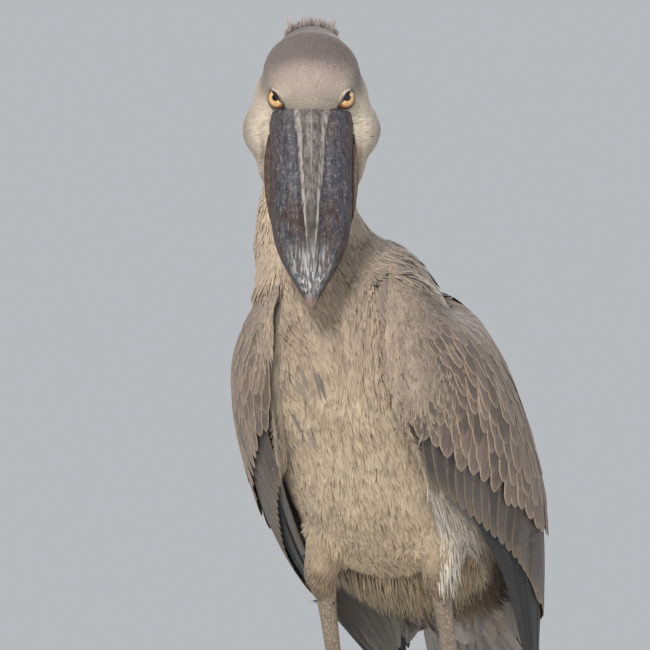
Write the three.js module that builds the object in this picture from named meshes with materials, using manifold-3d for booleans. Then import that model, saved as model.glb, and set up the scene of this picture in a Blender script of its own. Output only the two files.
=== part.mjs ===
// Shoebill: a life-size standing bird, in millimetres, with +Z up.
// It looks along -Y and its left side is towards +X. The body is turned to the bird's right under the head,
// which faces straight ahead with the bill pointing down. Each part of the bird is one closed solid.
import * as THREE from "three";
import { mergeVertices } from "three/addons/utils/BufferGeometryUtils.js";
import Module from "manifold-3d";

const wasm = await Module();
wasm.setup();
const { Manifold, Mesh: SolidMesh } = wasm;

// Driving sizes. Places on the body are [left of the midline, forward, up].
const GAP = 0.3;
const BODY_TURN = THREE.MathUtils.degToRad(20);
const HEAD_DIP = THREE.MathUtils.degToRad(80);
const HEAD_PLACE = new THREE.Vector3(-82, -160, 1031);
const EYE = { spread: 37, radius: 12.5, outward: THREE.MathUtils.degToRad(28) };
// The lids' ring round the eye, and the brow's ridge, placed from the head's middle: across, along and crown.
const LID = { inside: 1.6, thick: 2.6, out: 5.6 };
const BROW = { at: [37, -6, 4], size: [20, 6, 6], slant: [22, -21, -5] };
const SIDES = { left: 1, right: -1 };
// The left wing's bend is held closer to the body than the right one's.
const WING_TUCK = { left: 17, right: 0 };

// Neck and torso: stations from the nape to the root of the tail, with half widths and half depths.
const BODY = [
  { left: -38, forward: 124, up: 1072, wide: 38, deep: 34 },
  { left: -54, forward: 88, up: 1046, wide: 44, deep: 42 },
  { left: -61, forward: 68, up: 1000, wide: 48, deep: 49 },
  { left: -64, forward: 62, up: 950, wide: 54, deep: 54 },
  { left: -67, forward: 66, up: 900, wide: 63, deep: 62 },
  { left: -57, forward: 60, up: 845, wide: 84, deep: 74 },
  { left: -28, forward: 46, up: 790, wide: 112, deep: 102 },
  { left: -6, forward: 20, up: 700, wide: 130, deep: 118 },
  { left: 0, forward: -34, up: 618, wide: 132, deep: 122 },
  { left: 0, forward: -108, up: 556, wide: 114, deep: 106 },
  { left: 0, forward: -178, up: 518, wide: 84, deep: 72 },
  { left: 0, forward: -238, up: 488, wide: 56, deep: 38 },
];
const NECK_ROWS = 5.2;

// The folded wing wraps the body like part of a tube: its axis, half width, half depth towards the belly and
// towards the back, and the angles in degrees of its front and back edges. The last row is the wing's tip.
const WING = [
  { forward: 88, up: 838, wide: 74, belly: 42, back: 58, front: -38, rear: 56 },
  { forward: 98, up: 792, wide: 112, belly: 74, back: 92, front: -50, rear: 66 },
  { forward: 84, up: 744, wide: 140, belly: 98, back: 124, front: -56, rear: 71 },
  { forward: 45, up: 695, wide: 154, belly: 114, back: 146, front: -56, rear: 73 },
  { forward: -4, up: 640, wide: 160, belly: 114, back: 150, front: -53, rear: 74 },
  { forward: -63, up: 569, wide: 160, belly: 92, back: 140, front: -50, rear: 74 },
  { forward: -120, up: 503, wide: 148, belly: 68, back: 112, front: -45, rear: 72 },
  { forward: -185, up: 442, wide: 126, belly: 48, back: 76, front: -40, rear: 68 },
  { forward: -255, up: 385, wide: 101, belly: 33, back: 42, front: -32, rear: 60 },
  { forward: -338, up: 345, wide: 78, belly: 8, back: 10, front: -20, rear: 30 },
];
// The wing's rows of feathers, from the small coverts down to the secondaries: the line of their tips over the wing
// and how high their faces lie above its base.
const GREATER_TIPS = (over) => 0.24 + 0.46 * (1 - (1 - over) ** 3.5);
const WING_ROWS = [
  { tips: (over) => GREATER_TIPS(over) - 0.165 - 0.05 * over, lift: 15.6 },
  { tips: (over) => GREATER_TIPS(over) - 0.085 - 0.03 * over, lift: 12.2 },
  { tips: GREATER_TIPS, lift: 8.8 },
  { tips: (over) => 0.42 + 0.44 * (1 - (1 - over) ** 3.4), lift: 5.4 },
];
const WING_SPREAD = 0.48;
const WING_VANES = 11;
const SHINGLE = 1.2;
const TIP_DRAWN = 0.024;
const TIP_BEND = 0.036;
const TIP_WALL = 0.005;
const RAGGED = 0.006;
const SHOULDER = 0.1;
const UNDERSIDE = { flat: 3.2, hollow: 13 };
const QUILL_THICKNESS = 1.5;
const PRIMARIES = { count: 7, lift: -0.6, shingle: 0.8, thickness: 1.2, under: 0.14, bend: 0.5 };

// The bill's upper half along its axis: half width, height of the ridge and height of the cutting edge.
const UPPER_BILL = [
  { along: 13.5, wide: 47, ridge: 22, edge: -22 },
  { along: 28, wide: 47.5, ridge: 24, edge: -22 },
  { along: 56, wide: 47, ridge: 24, edge: -21 },
  { along: 94, wide: 47, ridge: 22, edge: -20 },
  { along: 128, wide: 46.5, ridge: 20.5, edge: -20 },
  { along: 158, wide: 43, ridge: 18, edge: -21 },
  { along: 182, wide: 35, ridge: 13.5, edge: -22 },
  { along: 203, wide: 23.5, ridge: 7, edge: -24 },
  { along: 220, wide: 12.5, ridge: -2, edge: -28 },
  { along: 232, wide: 5.5, ridge: -13, edge: -34 },
  { along: 237, wide: 2, ridge: -24, edge: -36 },
];
const NOSTRIL = { along: 36, spread: 16.5, length: 13, width: 2.4, deep: 12, level: 18.5 };
const LOWER_BILL = [
  { along: 13.5, wide: 50, ridge: -23.5, edge: -58 },
  { along: 36, wide: 52.5, ridge: -23.2, edge: -60 },
  { along: 66, wide: 54, ridge: -22.2, edge: -58 },
  { along: 100, wide: 53, ridge: -21.4, edge: -54 },
  { along: 132, wide: 48, ridge: -21.4, edge: -49 },
  { along: 160, wide: 39, ridge: -22.4, edge: -44 },
  { along: 184, wide: 26, ridge: -23.8, edge: -39 },
  { along: 200, wide: 13, ridge: -26, edge: -35 },
  { along: 207, wide: 4, ridge: -28, edge: -33 },
];

// The head's rounded masses, each [across, along the bill, towards the crown] with its radii.
const HEAD_MASSES = [
  { at: [0, -31, -6], size: [57, 50, 40] },
  { at: [0, -4, 4], size: [37, 24, 26] },
  { at: [-25, -8, -36], size: [43, 44, 36] },
  { at: [25, -8, -36], size: [43, 44, 36] },
  { at: [-43, 26, -50], size: [38, 38, 34] },
  { at: [43, 26, -50], size: [38, 38, 34] },
  { at: [-22, 62, -66], size: [41, 46, 32] },
  { at: [22, 62, -66], size: [41, 46, 32] },
  { at: [0, -50, -42], size: [46, 44, 44] },
];
const HEAD_MIDDLE = [0, -8, -30];

// Legs, in the body's frame: joints of the left leg, mirrored for the right one.
const LEG = {
  hip: { left: 62, forward: -30, up: 556 },
  knee: { left: 71, forward: 6, up: 494 },
  shank: { left: 71, forward: -12, up: 440 },
  heel: { left: 74, forward: -84, up: 272 },
  foot: { left: 78, forward: -46, up: 24 },
};
const THIGH_RADII = [58, 36, 13];
const THIGH_END = 452;
const SHANK_RADIUS = 8.2;
const HEEL_RADIUS = 15;
const TARSUS_RADIUS = 8.6;
const TOES = {
  middle: { turn: 3, length: 166, radius: 9.4, joints: 4 },
  inner: { turn: -30, length: 128, radius: 8.6, joints: 3 },
  outer: { turn: 34, length: 140, radius: 8.4, joints: 5 },
  hallux: { turn: 176, length: 78, radius: 8.2, joints: 2 },
};
const TOE_OUT = 9;
const CLAW_LENGTH = 27;

// The tail: a fan of feathers from a flat root.
const TAIL = {
  forward: -232, up: 494, slope: THREE.MathUtils.degToRad(41), length: 222,
  count: 12, fan: THREE.MathUtils.degToRad(11), width: 30, stack: 10, slant: 0.06,
  root: { wide: 40, end: 36, thick: 45, tip: 11, length: 80, ahead: 10 },
};
const CREST = {
  pad: { at: [0, -72, -36], size: [14, 16, 9] }, root: -64, layer: 3.4, level: -34,
  count: 9, length: 46, spread: 17, vane: 6.2, droop: 26, thick: 2.4,
};

// Materials, by the part of the bird that they cover.
const material = (color, roughness) => new THREE.MeshStandardMaterial({ color, roughness, metalness: 0 });
const PLUMAGE = material(0xb3a18a, 0.95);
const CROWN = material(0x8a7d7a, 0.95);
const QUILLS = material(0x6d6560, 0.85);
const HORN = material(0x5d5a5c, 0.5);
const LEG_SKIN = material(0x8d8070, 0.75);
const CLAW = material(0x3a3632, 0.45);
const IRIS = material(0xb98b45, 0.15);

// Makes a closed geometry a solid, and turns it right side out where its mapping mirrored it.
function solid(geometry) {
  const bare = new THREE.BufferGeometry();
  bare.setAttribute("position", geometry.getAttribute("position"));
  bare.setIndex(geometry.getIndex());
  const merged = mergeVertices(bare, 1e-3);
  const triVerts = new Uint32Array(merged.index.array);
  const vertProperties = new Float32Array(merged.attributes.position.array);
  const made = new Manifold(new SolidMesh({ numProp: 3, vertProperties, triVerts }));
  if (made.volume() >= 0) return made;
  return new Manifold(new SolidMesh({ numProp: 3, vertProperties, triVerts: triVerts.toReversed() }));
}

// Keeps the largest closed surface of a solid, which drops scraps and fills sealed hollows.
function largest(shape) {
  return shape.decompose().reduce((best, piece) => (piece.volume() > best.volume() ? piece : best));
}

function fuse(shapes) {
  return shapes.reduce((all, shape) => all.add(shape));
}

function meshOf(shape, name, look) {
  const { numProp, vertProperties, triVerts } = largest(shape).getMesh();
  const count = vertProperties.length / numProp;
  const places = new Float32Array(count * 3);
  for (let i = 0; i < count; i += 1) {
    places.set(vertProperties.subarray(i * numProp, i * numProp + 3), i * 3);
  }
  const geometry = new THREE.BufferGeometry();
  geometry.setAttribute("position", new THREE.BufferAttribute(places, 3));
  geometry.setIndex(new THREE.BufferAttribute(new Uint32Array(triVerts), 1));
  geometry.computeVertexNormals();
  const mesh = new THREE.Mesh(geometry, look);
  mesh.name = name;
  return mesh;
}

// A smooth value at a place counted in rows: a Catmull-Rom cubic through the rows' values.
function between(values, row) {
  const last = values.length - 1;
  const i = Math.min(Math.max(Math.floor(row), 0), last - 1);
  const f = row - i;
  const [a, b, c, d] = [i - 1, i, i + 1, i + 2].map((j) => values[Math.min(Math.max(j, 0), last)]);
  return b + 0.5 * f * (c - a + f * (2 * a - 5 * b + 4 * c - d + f * (3 * (b - c) + d - a)));
}

// All named values of a table of stations at one row.
function station(table, row) {
  const names = Object.keys(table[0]);
  return Object.fromEntries(names.map((name) => [name, between(table.map((line) => line[name]), row)]));
}

// A place on the body, turned with it under the head.
function place(left, forward, up) {
  return new THREE.Vector3(left, -forward, up).applyAxisAngle(new THREE.Vector3(0, 0, 1), -BODY_TURN);
}
const BODY_LEFT = place(1, 0, 0);

// The head's own axes: across to its left, along the bill, and towards the crown.
const HEAD_AXES = new THREE.Matrix4().makeBasis(
  new THREE.Vector3(1, 0, 0),
  new THREE.Vector3(0, -Math.cos(HEAD_DIP), -Math.sin(HEAD_DIP)),
  new THREE.Vector3(0, -Math.sin(HEAD_DIP), Math.cos(HEAD_DIP)),
);
const headPlace = (across, along, crown) =>
  new THREE.Vector3(across, along, crown).applyMatrix4(HEAD_AXES).add(HEAD_PLACE);

// Moves each vertex of a geometry to the place that shape(vertex) gives.
function warp(geometry, shape) {
  const at = geometry.getAttribute("position");
  for (let i = 0; i < at.count; i += 1) {
    const moved = shape(new THREE.Vector3().fromBufferAttribute(at, i));
    at.setXYZ(i, moved.x, moved.y, moved.z);
  }
  return geometry;
}

// A seeded draw from -1 to 1, the same on each run.
function seeded(seed) {
  let state = seed;
  return () => {
    state = (state * 16807) % 2147483647;
    return (state / 2147483647) * 2 - 1;
  };
}

// A closed tube along centre(share), where size(share) gives its half width and half depth.
function tube(centre, size, around, along) {
  const step = 0.01;
  return warp(new THREE.CylinderGeometry(1, 1, 1, around, along), (v) => {
    const share = 0.5 - v.y;
    const run = centre(share + step).sub(centre(share - step)).normalize();
    const across = BODY_LEFT.clone().addScaledVector(run, -run.dot(BODY_LEFT)).normalize();
    const out = new THREE.Vector3().crossVectors(run, across);
    const [wide, deep] = size(share);
    return centre(share).addScaledVector(across, v.x * wide).addScaledVector(out, -v.z * deep);
  });
}

// A curved plate: shape(across -1 to 1, along 0 to 1, face 1 or 0) gives both faces, split into triangles alike.
function plate(acrossSteps, alongSteps, shape) {
  const top = new THREE.PlaneGeometry(2, 1, acrossSteps, alongSteps);
  const flat = top.getAttribute("position");
  const places = [];
  for (const face of [1, 0]) {
    for (let i = 0; i < flat.count; i += 1) places.push(...shape(flat.getX(i), 0.5 - flat.getY(i), face).toArray());
  }
  const upper = Array.from(top.getIndex().array);
  const lower = upper.map((v) => v + flat.count).reverse();
  const row = acrossSteps + 1;
  const rim = [];
  for (let i = 0; i < acrossSteps; i += 1) rim.push(i);
  for (let j = 0; j < alongSteps; j += 1) rim.push(acrossSteps + j * row);
  for (let i = acrossSteps; i > 0; i -= 1) rim.push(alongSteps * row + i);
  for (let j = alongSteps; j > 0; j -= 1) rim.push(j * row);
  const sides = rim.flatMap((v, k) => {
    const next = rim[(k + 1) % rim.length];
    return [v, next, v + flat.count, next, next + flat.count, v + flat.count];
  });
  const geometry = new THREE.BufferGeometry();
  geometry.setAttribute("position", new THREE.BufferAttribute(new Float32Array(places), 3));
  geometry.setIndex([...upper, ...lower, ...sides]);
  return geometry;
}

// A stretch of the one tube that is neck and torso, made larger by grow.
function bodyStretch(from, to, grow, around, along) {
  const row = (share) => from + (to - from) * share;
  return solid(
    tube(
      (share) => {
        const { left, forward, up } = station(BODY, row(share));
        return place(left, forward, up);
      },
      (share) => {
        const { wide, deep } = station(BODY, row(share));
        return [wide + grow, deep + grow];
      },
      around,
      along,
    ),
  );
}

// A place on the wing's outer surface: down from shoulder 0 to tip 1, over from front edge 0 to back edge 1.
function wingPlace(side, down, over, lift) {
  const row = down * (WING.length - 1);
  const here = station(WING, row);
  const before = station(WING, row - 0.1);
  const after = station(WING, row + 0.1);
  const run = new THREE.Vector2(after.forward - before.forward, after.up - before.up).normalize();
  here.wide -= WING_TUCK[side] * Math.max(1 - 1.7 * down, 0);
  const angle = THREE.MathUtils.degToRad(here.front + (here.rear - here.front) * over);
  const deep = angle < 0 ? here.belly : here.back;
  const facing = new THREE.Vector2(Math.cos(angle) / here.wide, Math.sin(angle) / deep).normalize();
  const out = here.wide * Math.cos(angle) + lift * facing.x;
  const back = deep * Math.sin(angle) + lift * facing.y;
  return place(SIDES[side] * out, here.forward + back * run.y, here.up - back * run.x);
}

// A loft along the bill from one table of stations, with its upper face from crest and its lower one from hollow.
// Where it grows, the rim between the two goes up or down with the hollow face.
function billLoft(table, grow, rim, crest, hollow) {
  const last = table.length - 1;
  const form = warp(new THREE.CylinderGeometry(1, 1, 1, 20, Math.round(1.4 * last)), (v) => {
    const { along, wide, ridge, edge } = station(table, (0.5 - v.y) * last);
    const reach = Math.sign(v.x) * Math.abs(v.x) ** 0.9 * (wide + grow);
    const back = v.y === 0.5 ? -grow : 0;
    const level = Math.abs(v.z) < 1e-6 ? rim : Math.sign(v.z);
    const height = v.z >= 0 ? crest(v.x, v.z, edge, ridge) : hollow(v.x, -v.z, edge, ridge);
    return headPlace(reach, along + back, height + grow * level);
  });
  return solid(form);
}

// The upper bill has a keel along its ridge with a groove on each side, and a hollow palate.
function upperBill(grow) {
  const keel = (x) => 0.2 * Math.exp(-((x / 0.2) ** 4)) - 0.05 * Math.exp(-(((Math.abs(x) - 0.33) / 0.09) ** 2));
  return billLoft(
    UPPER_BILL,
    grow,
    -1,
    (x, z, edge, ridge) => edge + (ridge - edge) * z ** 1.15 * (0.82 + keel(x)),
    (x, z, edge) => edge + 3 * z,
  );
}

// A nostril: a slit in the groove beside the ridge.
function nostril(side) {
  const slit = warp(new THREE.BoxGeometry(NOSTRIL.width, NOSTRIL.length, NOSTRIL.deep), (v) =>
    headPlace(v.x + SIDES[side] * (NOSTRIL.spread - 0.06 * v.y), v.y + NOSTRIL.along, v.z + NOSTRIL.level),
  );
  return solid(slit);
}

// The lower bill is a deep trough, closed on top.
function lowerBill(grow) {
  return billLoft(
    LOWER_BILL,
    grow,
    1,
    (x, z, edge, ridge) => ridge - 3 * z,
    (x, z, edge, ridge) => ridge + (edge - ridge) * z ** 0.85,
  );
}

// How far a place of the head's frame is outside its masses, blended where they meet.
function headDepth(across, along, crown) {
  const blend = 0.3;
  const sum = HEAD_MASSES.reduce((total, { at, size }) => {
    const apart = [across - at[0], along - at[1], crown - at[2]];
    const ratio = Math.hypot(apart[0] / size[0], apart[1] / size[1], apart[2] / size[2]);
    return total + Math.exp(-blend * (ratio - 1) * Math.min(...size));
  }, 0);
  return -Math.log(sum) / blend;
}

// The head's skin: the place along each ray from its middle where the masses end.
function headForm(grow, around, rows) {
  const form = warp(new THREE.SphereGeometry(1, around, rows), (v) => {
    const way = new THREE.Vector3(v.y, v.x, v.z).normalize();
    let [inside, outside] = [20, 140];
    for (let i = 0; i < 22; i += 1) {
      const reach = (inside + outside) / 2;
      const spot = way.clone().multiplyScalar(reach).add(new THREE.Vector3(...HEAD_MIDDLE));
      if (headDepth(spot.x, spot.y, spot.z) > grow) outside = reach;
      else inside = reach;
    }
    const spot = way.multiplyScalar(inside).add(new THREE.Vector3(...HEAD_MIDDLE));
    return headPlace(spot.x, spot.y, spot.z);
  });
  return solid(form);
}

// An eyeball, with its place and facing in the head's frame.
function eyeFacing(side) {
  return new THREE.Vector3(SIDES[side] * Math.sin(EYE.outward), 0.05, Math.cos(EYE.outward)).normalize();
}
function eyeball(side, grow) {
  const ball = warp(new THREE.SphereGeometry(EYE.radius + grow, 14, 10), (v) =>
    headPlace(v.x + SIDES[side] * EYE.spread, v.y, v.z),
  );
  return solid(ball);
}

// A stretched ball in the head's frame, turned to lie along a direction.
function headLump(at, size, along) {
  const turn = new THREE.Quaternion().setFromUnitVectors(new THREE.Vector3(1, 0, 0), along.clone().normalize());
  return solid(
    warp(new THREE.SphereGeometry(1, 12, 8), (v) => {
      const spot = v.multiply(size).applyQuaternion(turn).add(at);
      return headPlace(spot.x, spot.y, spot.z);
    }),
  );
}

function lid(side) {
  const turn = new THREE.Quaternion().setFromUnitVectors(new THREE.Vector3(0, 0, 1), eyeFacing(side));
  const ring = warp(new THREE.TorusGeometry(EYE.radius - LID.inside, LID.thick, 5, 16), (v) => {
    v.z += LID.out;
    const spot = v.applyQuaternion(turn).add(new THREE.Vector3(SIDES[side] * EYE.spread, 0, 0));
    return headPlace(spot.x, spot.y, spot.z);
  });
  return solid(ring);
}

function brow(side) {
  const mirrored = ([across, along, crown]) => new THREE.Vector3(SIDES[side] * across, along, crown);
  return headLump(mirrored(BROW.at), new THREE.Vector3(...BROW.size), mirrored(BROW.slant));
}

// A leg bone: a tube through named joints with a half width for each, straight between them.
function limb(points, radii, around, along, grow) {
  const last = points.length - 1;
  const at = (share) => {
    const row = share * last;
    return new THREE.Vector3(...["x", "y", "z"].map((axis) => between(points.map((p) => p[axis]), row)));
  };
  return solid(
    tube(
      at,
      (share) => {
        const radius = between(radii, share * last) + grow;
        return [radius, radius];
      },
      around,
      along,
    ),
  );
}

const joint = (name, side) => place(SIDES[side] * LEG[name].left, LEG[name].forward, LEG[name].up);

// Everything below the floor, which flattens the soles.
function belowFloor() {
  const ground = new THREE.BoxGeometry(900, 900, 60);
  return solid(ground.translate(0, 0, -30));
}

// A toe: a tube from the foot along the floor, with a pad between each pair of joints.
function toeWay(side, name) {
  const angle = THREE.MathUtils.degToRad(SIDES[side] * (TOES[name].turn + TOE_OUT));
  return place(Math.sin(angle), Math.cos(angle), 0);
}
function toe(side, name, grow) {
  const { length, radius, joints } = TOES[name];
  const way = toeWay(side, name);
  const from = joint("foot", side).setZ(0).addScaledVector(way, 4);
  const height = (share) => radius * 0.86 * (1 - 0.32 * share) + 7 * (1 - share) ** 6;
  const thick = (share) => radius * (1 - 0.34 * share) * (1 + 0.1 * Math.cos(2 * Math.PI * joints * share));
  return solid(
    tube(
      (share) => from.clone().addScaledVector(way, length * share).setZ(height(share) - 1),
      (share) => [thick(share) + grow, thick(share) + grow],
      8,
      2 * joints + 1,
    ),
  );
}
function claw(side, name) {
  const { length, radius } = TOES[name];
  const way = toeWay(side, name);
  const from = joint("foot", side).setZ(0).addScaledVector(way, length - 2);
  const taper = (share) => Math.max(1 - share, 0) ** 0.8;
  return solid(
    tube(
      (share) => from.clone().addScaledVector(way, CLAW_LENGTH * share).setZ(5.6 - 4.6 * Math.max(share, 0) ** 1.7),
      (share) => [radius * 0.5 * taper(share) + 0.35, radius * 0.52 * taper(share) + 0.4],
      6,
      4,
    ),
  );
}

// Solids that others are cut by, with their grown copies.
const floor = belowFloor();
const torso = bodyStretch(NECK_ROWS, BODY.length - 1, 0, 28, 12);
const torsoRoom = bodyStretch(NECK_ROWS - 0.01, BODY.length - 1 + 0.01, GAP, 28, 12);
const neckRoom = bodyStretch(0, NECK_ROWS + 0.02, GAP, 24, 10);
const headRoom = headForm(GAP, 26, 18);
const upperRoom = upperBill(GAP);
const lowerRoom = lowerBill(GAP);

// Head, with its lids and brows, hollowed for the bill and the eyes.
function head() {
  const extras = Object.keys(SIDES).flatMap((side) => [lid(side), brow(side)]);
  const whole = fuse([headForm(0, 26, 18), ...extras]);
  return [upperRoom, lowerRoom, eyeball("left", GAP), eyeball("right", GAP)].reduce((rest, cut) => rest.subtract(cut), whole);
}

function neck() {
  const whole = bodyStretch(0, NECK_ROWS - 0.02, 0, 24, 10);
  return [headRoom, lowerRoom, upperRoom].reduce((rest, cut) => rest.subtract(cut), whole);
}

// The crest: pointed feathers that fan from one pad at the back of the crown.
function crest() {
  const { at, size } = CREST.pad;
  const pad = headLump(new THREE.Vector3(...at), new THREE.Vector3(...size), new THREE.Vector3(1, 0, 0));
  const random = seeded(11);
  const feathers = Array.from({ length: CREST.count }, (_, i) => {
    const fan = (i / (CREST.count - 1)) * 2 - 1;
    const length = CREST.length * (1 - 0.3 * fan * fan) * (1 + 0.12 * random());
    const layer = (i % 2) * CREST.layer + CREST.level;
    return solid(
      plate(2, 3, (across, along, face) => {
        const half = CREST.vane * (1 - along) ** 0.7 + 0.4;
        const out = fan * (7 + CREST.spread * along) + across * half;
        const thick = (face - 0.5) * CREST.thick * (1 - 0.67 * along) * (1 - 0.5 * across * across);
        return headPlace(out, CREST.root - length * along, layer - CREST.droop * along * along + thick);
      }),
    );
  });
  return fuse([pad, ...feathers]).subtract(headRoom).subtract(neckRoom);
}

// A tail vane's width at the rows of its length.
const VANE_ROWS = [
  { at: 0, wide: 0.7 },
  { at: 0.16, wide: 0.96 },
  { at: 0.72, wide: 1 },
  { at: 1, wide: 0.16 },
];

// The lines along each vane of a row, across its width: high edge, shaft and low edge.
const VANE_LINES = [-0.94, 0, 0.94];

// A sheet of vanes side by side, each overlapping the next like a shingle. The shape places every point from its
// vane's number, its line across the vane and its step along it.
function shingles(count, steps, shape) {
  const last = count * VANE_LINES.length - 1;
  return solid(
    plate(last, steps, (across, along, face) => {
      const line = Math.round(((across + 1) / 2) * last);
      const vane = Math.floor(line / VANE_LINES.length);
      return shape(vane, VANE_LINES[line % VANE_LINES.length], Math.round(along * steps), face);
    }),
  );
}

// The steps down the wing: over each row a bend near the tips, the tips, and the wall down to the next row.
function wingSteps(vane, line, over) {
  const steps = [{ down: 0, lift: WING_ROWS[0].lift - 3, row: 0 }];
  WING_ROWS.forEach(({ tips, lift }, row) => {
    const tip = tips(over) + RAGGED * Math.sin(vane * 2.7 + row * 2.1) - TIP_DRAWN * line * line;
    const level = lift - SHINGLE * line;
    if (row === 0) steps.push({ down: Math.max(tip - SHOULDER, 0.012), lift: level, row });
    steps.push({ down: tip - TIP_BEND, lift: level + 0.5, row }, { down: tip, lift: level, row });
    if (row < WING_ROWS.length - 1) {
      steps.push({ down: tip + TIP_WALL, lift: WING_ROWS[row + 1].lift - SHINGLE * line, row: row + 1 });
    }
  });
  return steps;
}

function wingBody(side) {
  const count = wingSteps(0, 0, 0.5).length - 1;
  return shingles(WING_VANES, count, (vane, line, step, face) => {
    const middle = 0.5 + WING_SPREAD * ((2 * vane + 1) / WING_VANES - 1);
    const over = middle + (WING_SPREAD / WING_VANES) * line;
    const { down, lift, row } = wingSteps(vane, line, middle)[step];
    if (face) return wingPlace(side, down, over, lift);
    const edge = 1 - ((over - 0.5) / WING_SPREAD) ** 4;
    const deep = -UNDERSIDE.flat - UNDERSIDE.hollow * (1 - down) * edge;
    return wingPlace(side, down, over, row === WING_ROWS.length - 1 ? lift - QUILL_THICKNESS : deep);
  });
}

// The primaries leave from under the secondaries and close towards the wing's tip.
function primaries(side) {
  const { count, lift, shingle, thickness, under, bend } = PRIMARIES;
  const reach = [0, bend, 0.86, 1];
  return shingles(count, reach.length - 1, (vane, line, step, face) => {
    const share = (vane + 0.5) / count;
    const width = THREE.MathUtils.lerp(0.44, 0.31, reach[step]) / count;
    const root = THREE.MathUtils.lerp(0.06, 0.94, share);
    const tip = THREE.MathUtils.lerp(0.22, 0.84, share);
    const end = THREE.MathUtils.lerp(1, 0.92, share ** 1.3) - (step === reach.length - 1 ? TIP_DRAWN * line * line : 0);
    const start = WING_ROWS.at(-1).tips(root) - under;
    const level = lift - shingle * line + (face - 0.5) * thickness;
    const down = THREE.MathUtils.lerp(start, end, reach[step]);
    return wingPlace(side, down, THREE.MathUtils.lerp(root, tip, reach[step]) + width * line, level);
  });
}

function wing(side, cuts) {
  return cuts.reduce((rest, cut) => rest.subtract(cut), fuse([wingBody(side), primaries(side)]));
}

// A place on the tail: out from its midline, back from its root, and up off its plane.
function tailPlace(out, reach, lift) {
  const forward = TAIL.forward - reach * Math.cos(TAIL.slope) - lift * Math.sin(TAIL.slope);
  return place(out, forward, TAIL.up - reach * Math.sin(TAIL.slope) + lift * Math.cos(TAIL.slope));
}

// The tail's fleshy root with its quills fanned from it, the middle pair on top.
function tail(grow) {
  const root = plate(4, 2, (across, along, face) => {
    const { wide, end, thick, tip, length, ahead } = TAIL.root;
    const half = THREE.MathUtils.lerp(wide, end, along) + grow;
    const lift = (face - 0.5) * (THREE.MathUtils.lerp(thick, tip, along) + 2 * grow) * (1 - 0.3 * across * across);
    return tailPlace(across * half, length * along - ahead, lift - 2);
  });
  const quills = Array.from({ length: TAIL.count }, (_, i) => {
    const fan = (i / (TAIL.count - 1)) * 2 - 1;
    const length = TAIL.length * (1 - 0.11 * fan * fan);
    const angle = fan * TAIL.fan;
    return solid(
      plate(1, 3, (across, step, face) => {
        const { at, wide } = VANE_ROWS[Math.round(step * 3)];
        const reach = 24 + (length - 24) * at;
        const half = (TAIL.width / 2) * wide + grow;
        const lift = TAIL.stack * (0.5 - Math.abs(fan)) + (face - 0.5) * (1.5 + 2 * grow);
        const out = fan * 24 + Math.sin(angle) * reach + Math.cos(angle) * across * half;
        return tailPlace(out, Math.cos(angle) * reach, lift - Math.sign(fan) * across * half * TAIL.slant);
      }),
    );
  });
  return fuse([solid(root), ...quills]).subtract(torsoRoom);
}

function shank(side, grow) {
  const points = [joint("knee", side), joint("shank", side), joint("shank", side).lerp(joint("heel", side), 0.8), joint("heel", side)];
  return limb(points, [18, SHANK_RADIUS + 2, SHANK_RADIUS, HEEL_RADIUS * 0.86], 10, 7, grow);
}
function tarsus(side, grow) {
  const [heel, foot] = [joint("heel", side), joint("foot", side)];
  const points = [
    heel.clone().add(place(0, -4, 13)),
    heel.clone().add(place(0, -2, -6)),
    heel.clone().lerp(foot, 0.2),
    heel.clone().lerp(foot, 0.5),
    heel.clone().lerp(foot, 0.8),
    foot.clone().setZ(18),
    foot.clone().setZ(-3),
  ];
  return limb(points, [6, HEEL_RADIUS, TARSUS_RADIUS + 1.2, TARSUS_RADIUS, TARSUS_RADIUS + 0.6, 13, 15], 10, 11, grow);
}
function thigh(side, grow) {
  const points = [joint("hip", side), joint("knee", side), joint("shank", side).setZ(THIGH_END)];
  return limb(points, THIGH_RADII, 14, 7, grow);
}

const bird = new THREE.Group();
bird.add(meshOf(torso, "torso", PLUMAGE));
bird.add(meshOf(neck(), "neck", PLUMAGE));
bird.add(meshOf(head(), "head", CROWN));
bird.add(meshOf(crest(), "crest", CROWN));
bird.add(meshOf(upperBill(0).subtract(nostril("left")).subtract(nostril("right")), "upper_bill", HORN));
bird.add(meshOf(lowerBill(0), "lower_bill", HORN));
bird.add(meshOf(tail(0), "tail", QUILLS));
for (const side of Object.keys(SIDES)) {
  bird.add(meshOf(eyeball(side, 0), `eye_${side}`, IRIS));
  bird.add(meshOf(wing(side, [torsoRoom, neckRoom, tail(GAP), thigh(side, GAP)]), `wing_${side}`, QUILLS));
  bird.add(meshOf([torsoRoom, tail(GAP), shank(side, GAP)].reduce((rest, cut) => rest.subtract(cut), thigh(side, 0)), `thigh_${side}`, PLUMAGE));
  bird.add(meshOf([torsoRoom, tarsus(side, GAP)].reduce((rest, cut) => rest.subtract(cut), shank(side, 0)), `shank_${side}`, LEG_SKIN));
  bird.add(meshOf(tarsus(side, 0).subtract(floor), `tarsus_${side}`, LEG_SKIN));
  const rooms = [floor, tarsus(side, GAP)];
  for (const name of Object.keys(TOES)) {
    const whole = rooms.reduce((rest, cut) => rest.subtract(cut), toe(side, name, 0));
    rooms.push(toe(side, name, GAP));
    bird.add(meshOf(whole, `toe_${side}_${name}`, LEG_SKIN));
    bird.add(meshOf(claw(side, name).subtract(toe(side, name, GAP)).subtract(floor), `claw_${side}_${name}`, CLAW));
  }
}

// The origin is under the middle of the bird's box, on the floor.
const box = new THREE.Box3().setFromObject(bird);
const middle = box.getCenter(new THREE.Vector3());
bird.position.set(-middle.x, -middle.y, 0);
export default bird;
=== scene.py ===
"""Looks of a life-size shoebill that stands with its bill held down to its breast."""

import sys

import logging
import math
from dataclasses import dataclass, field
from enum import Enum
from typing import Callable, Sequence

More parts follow.
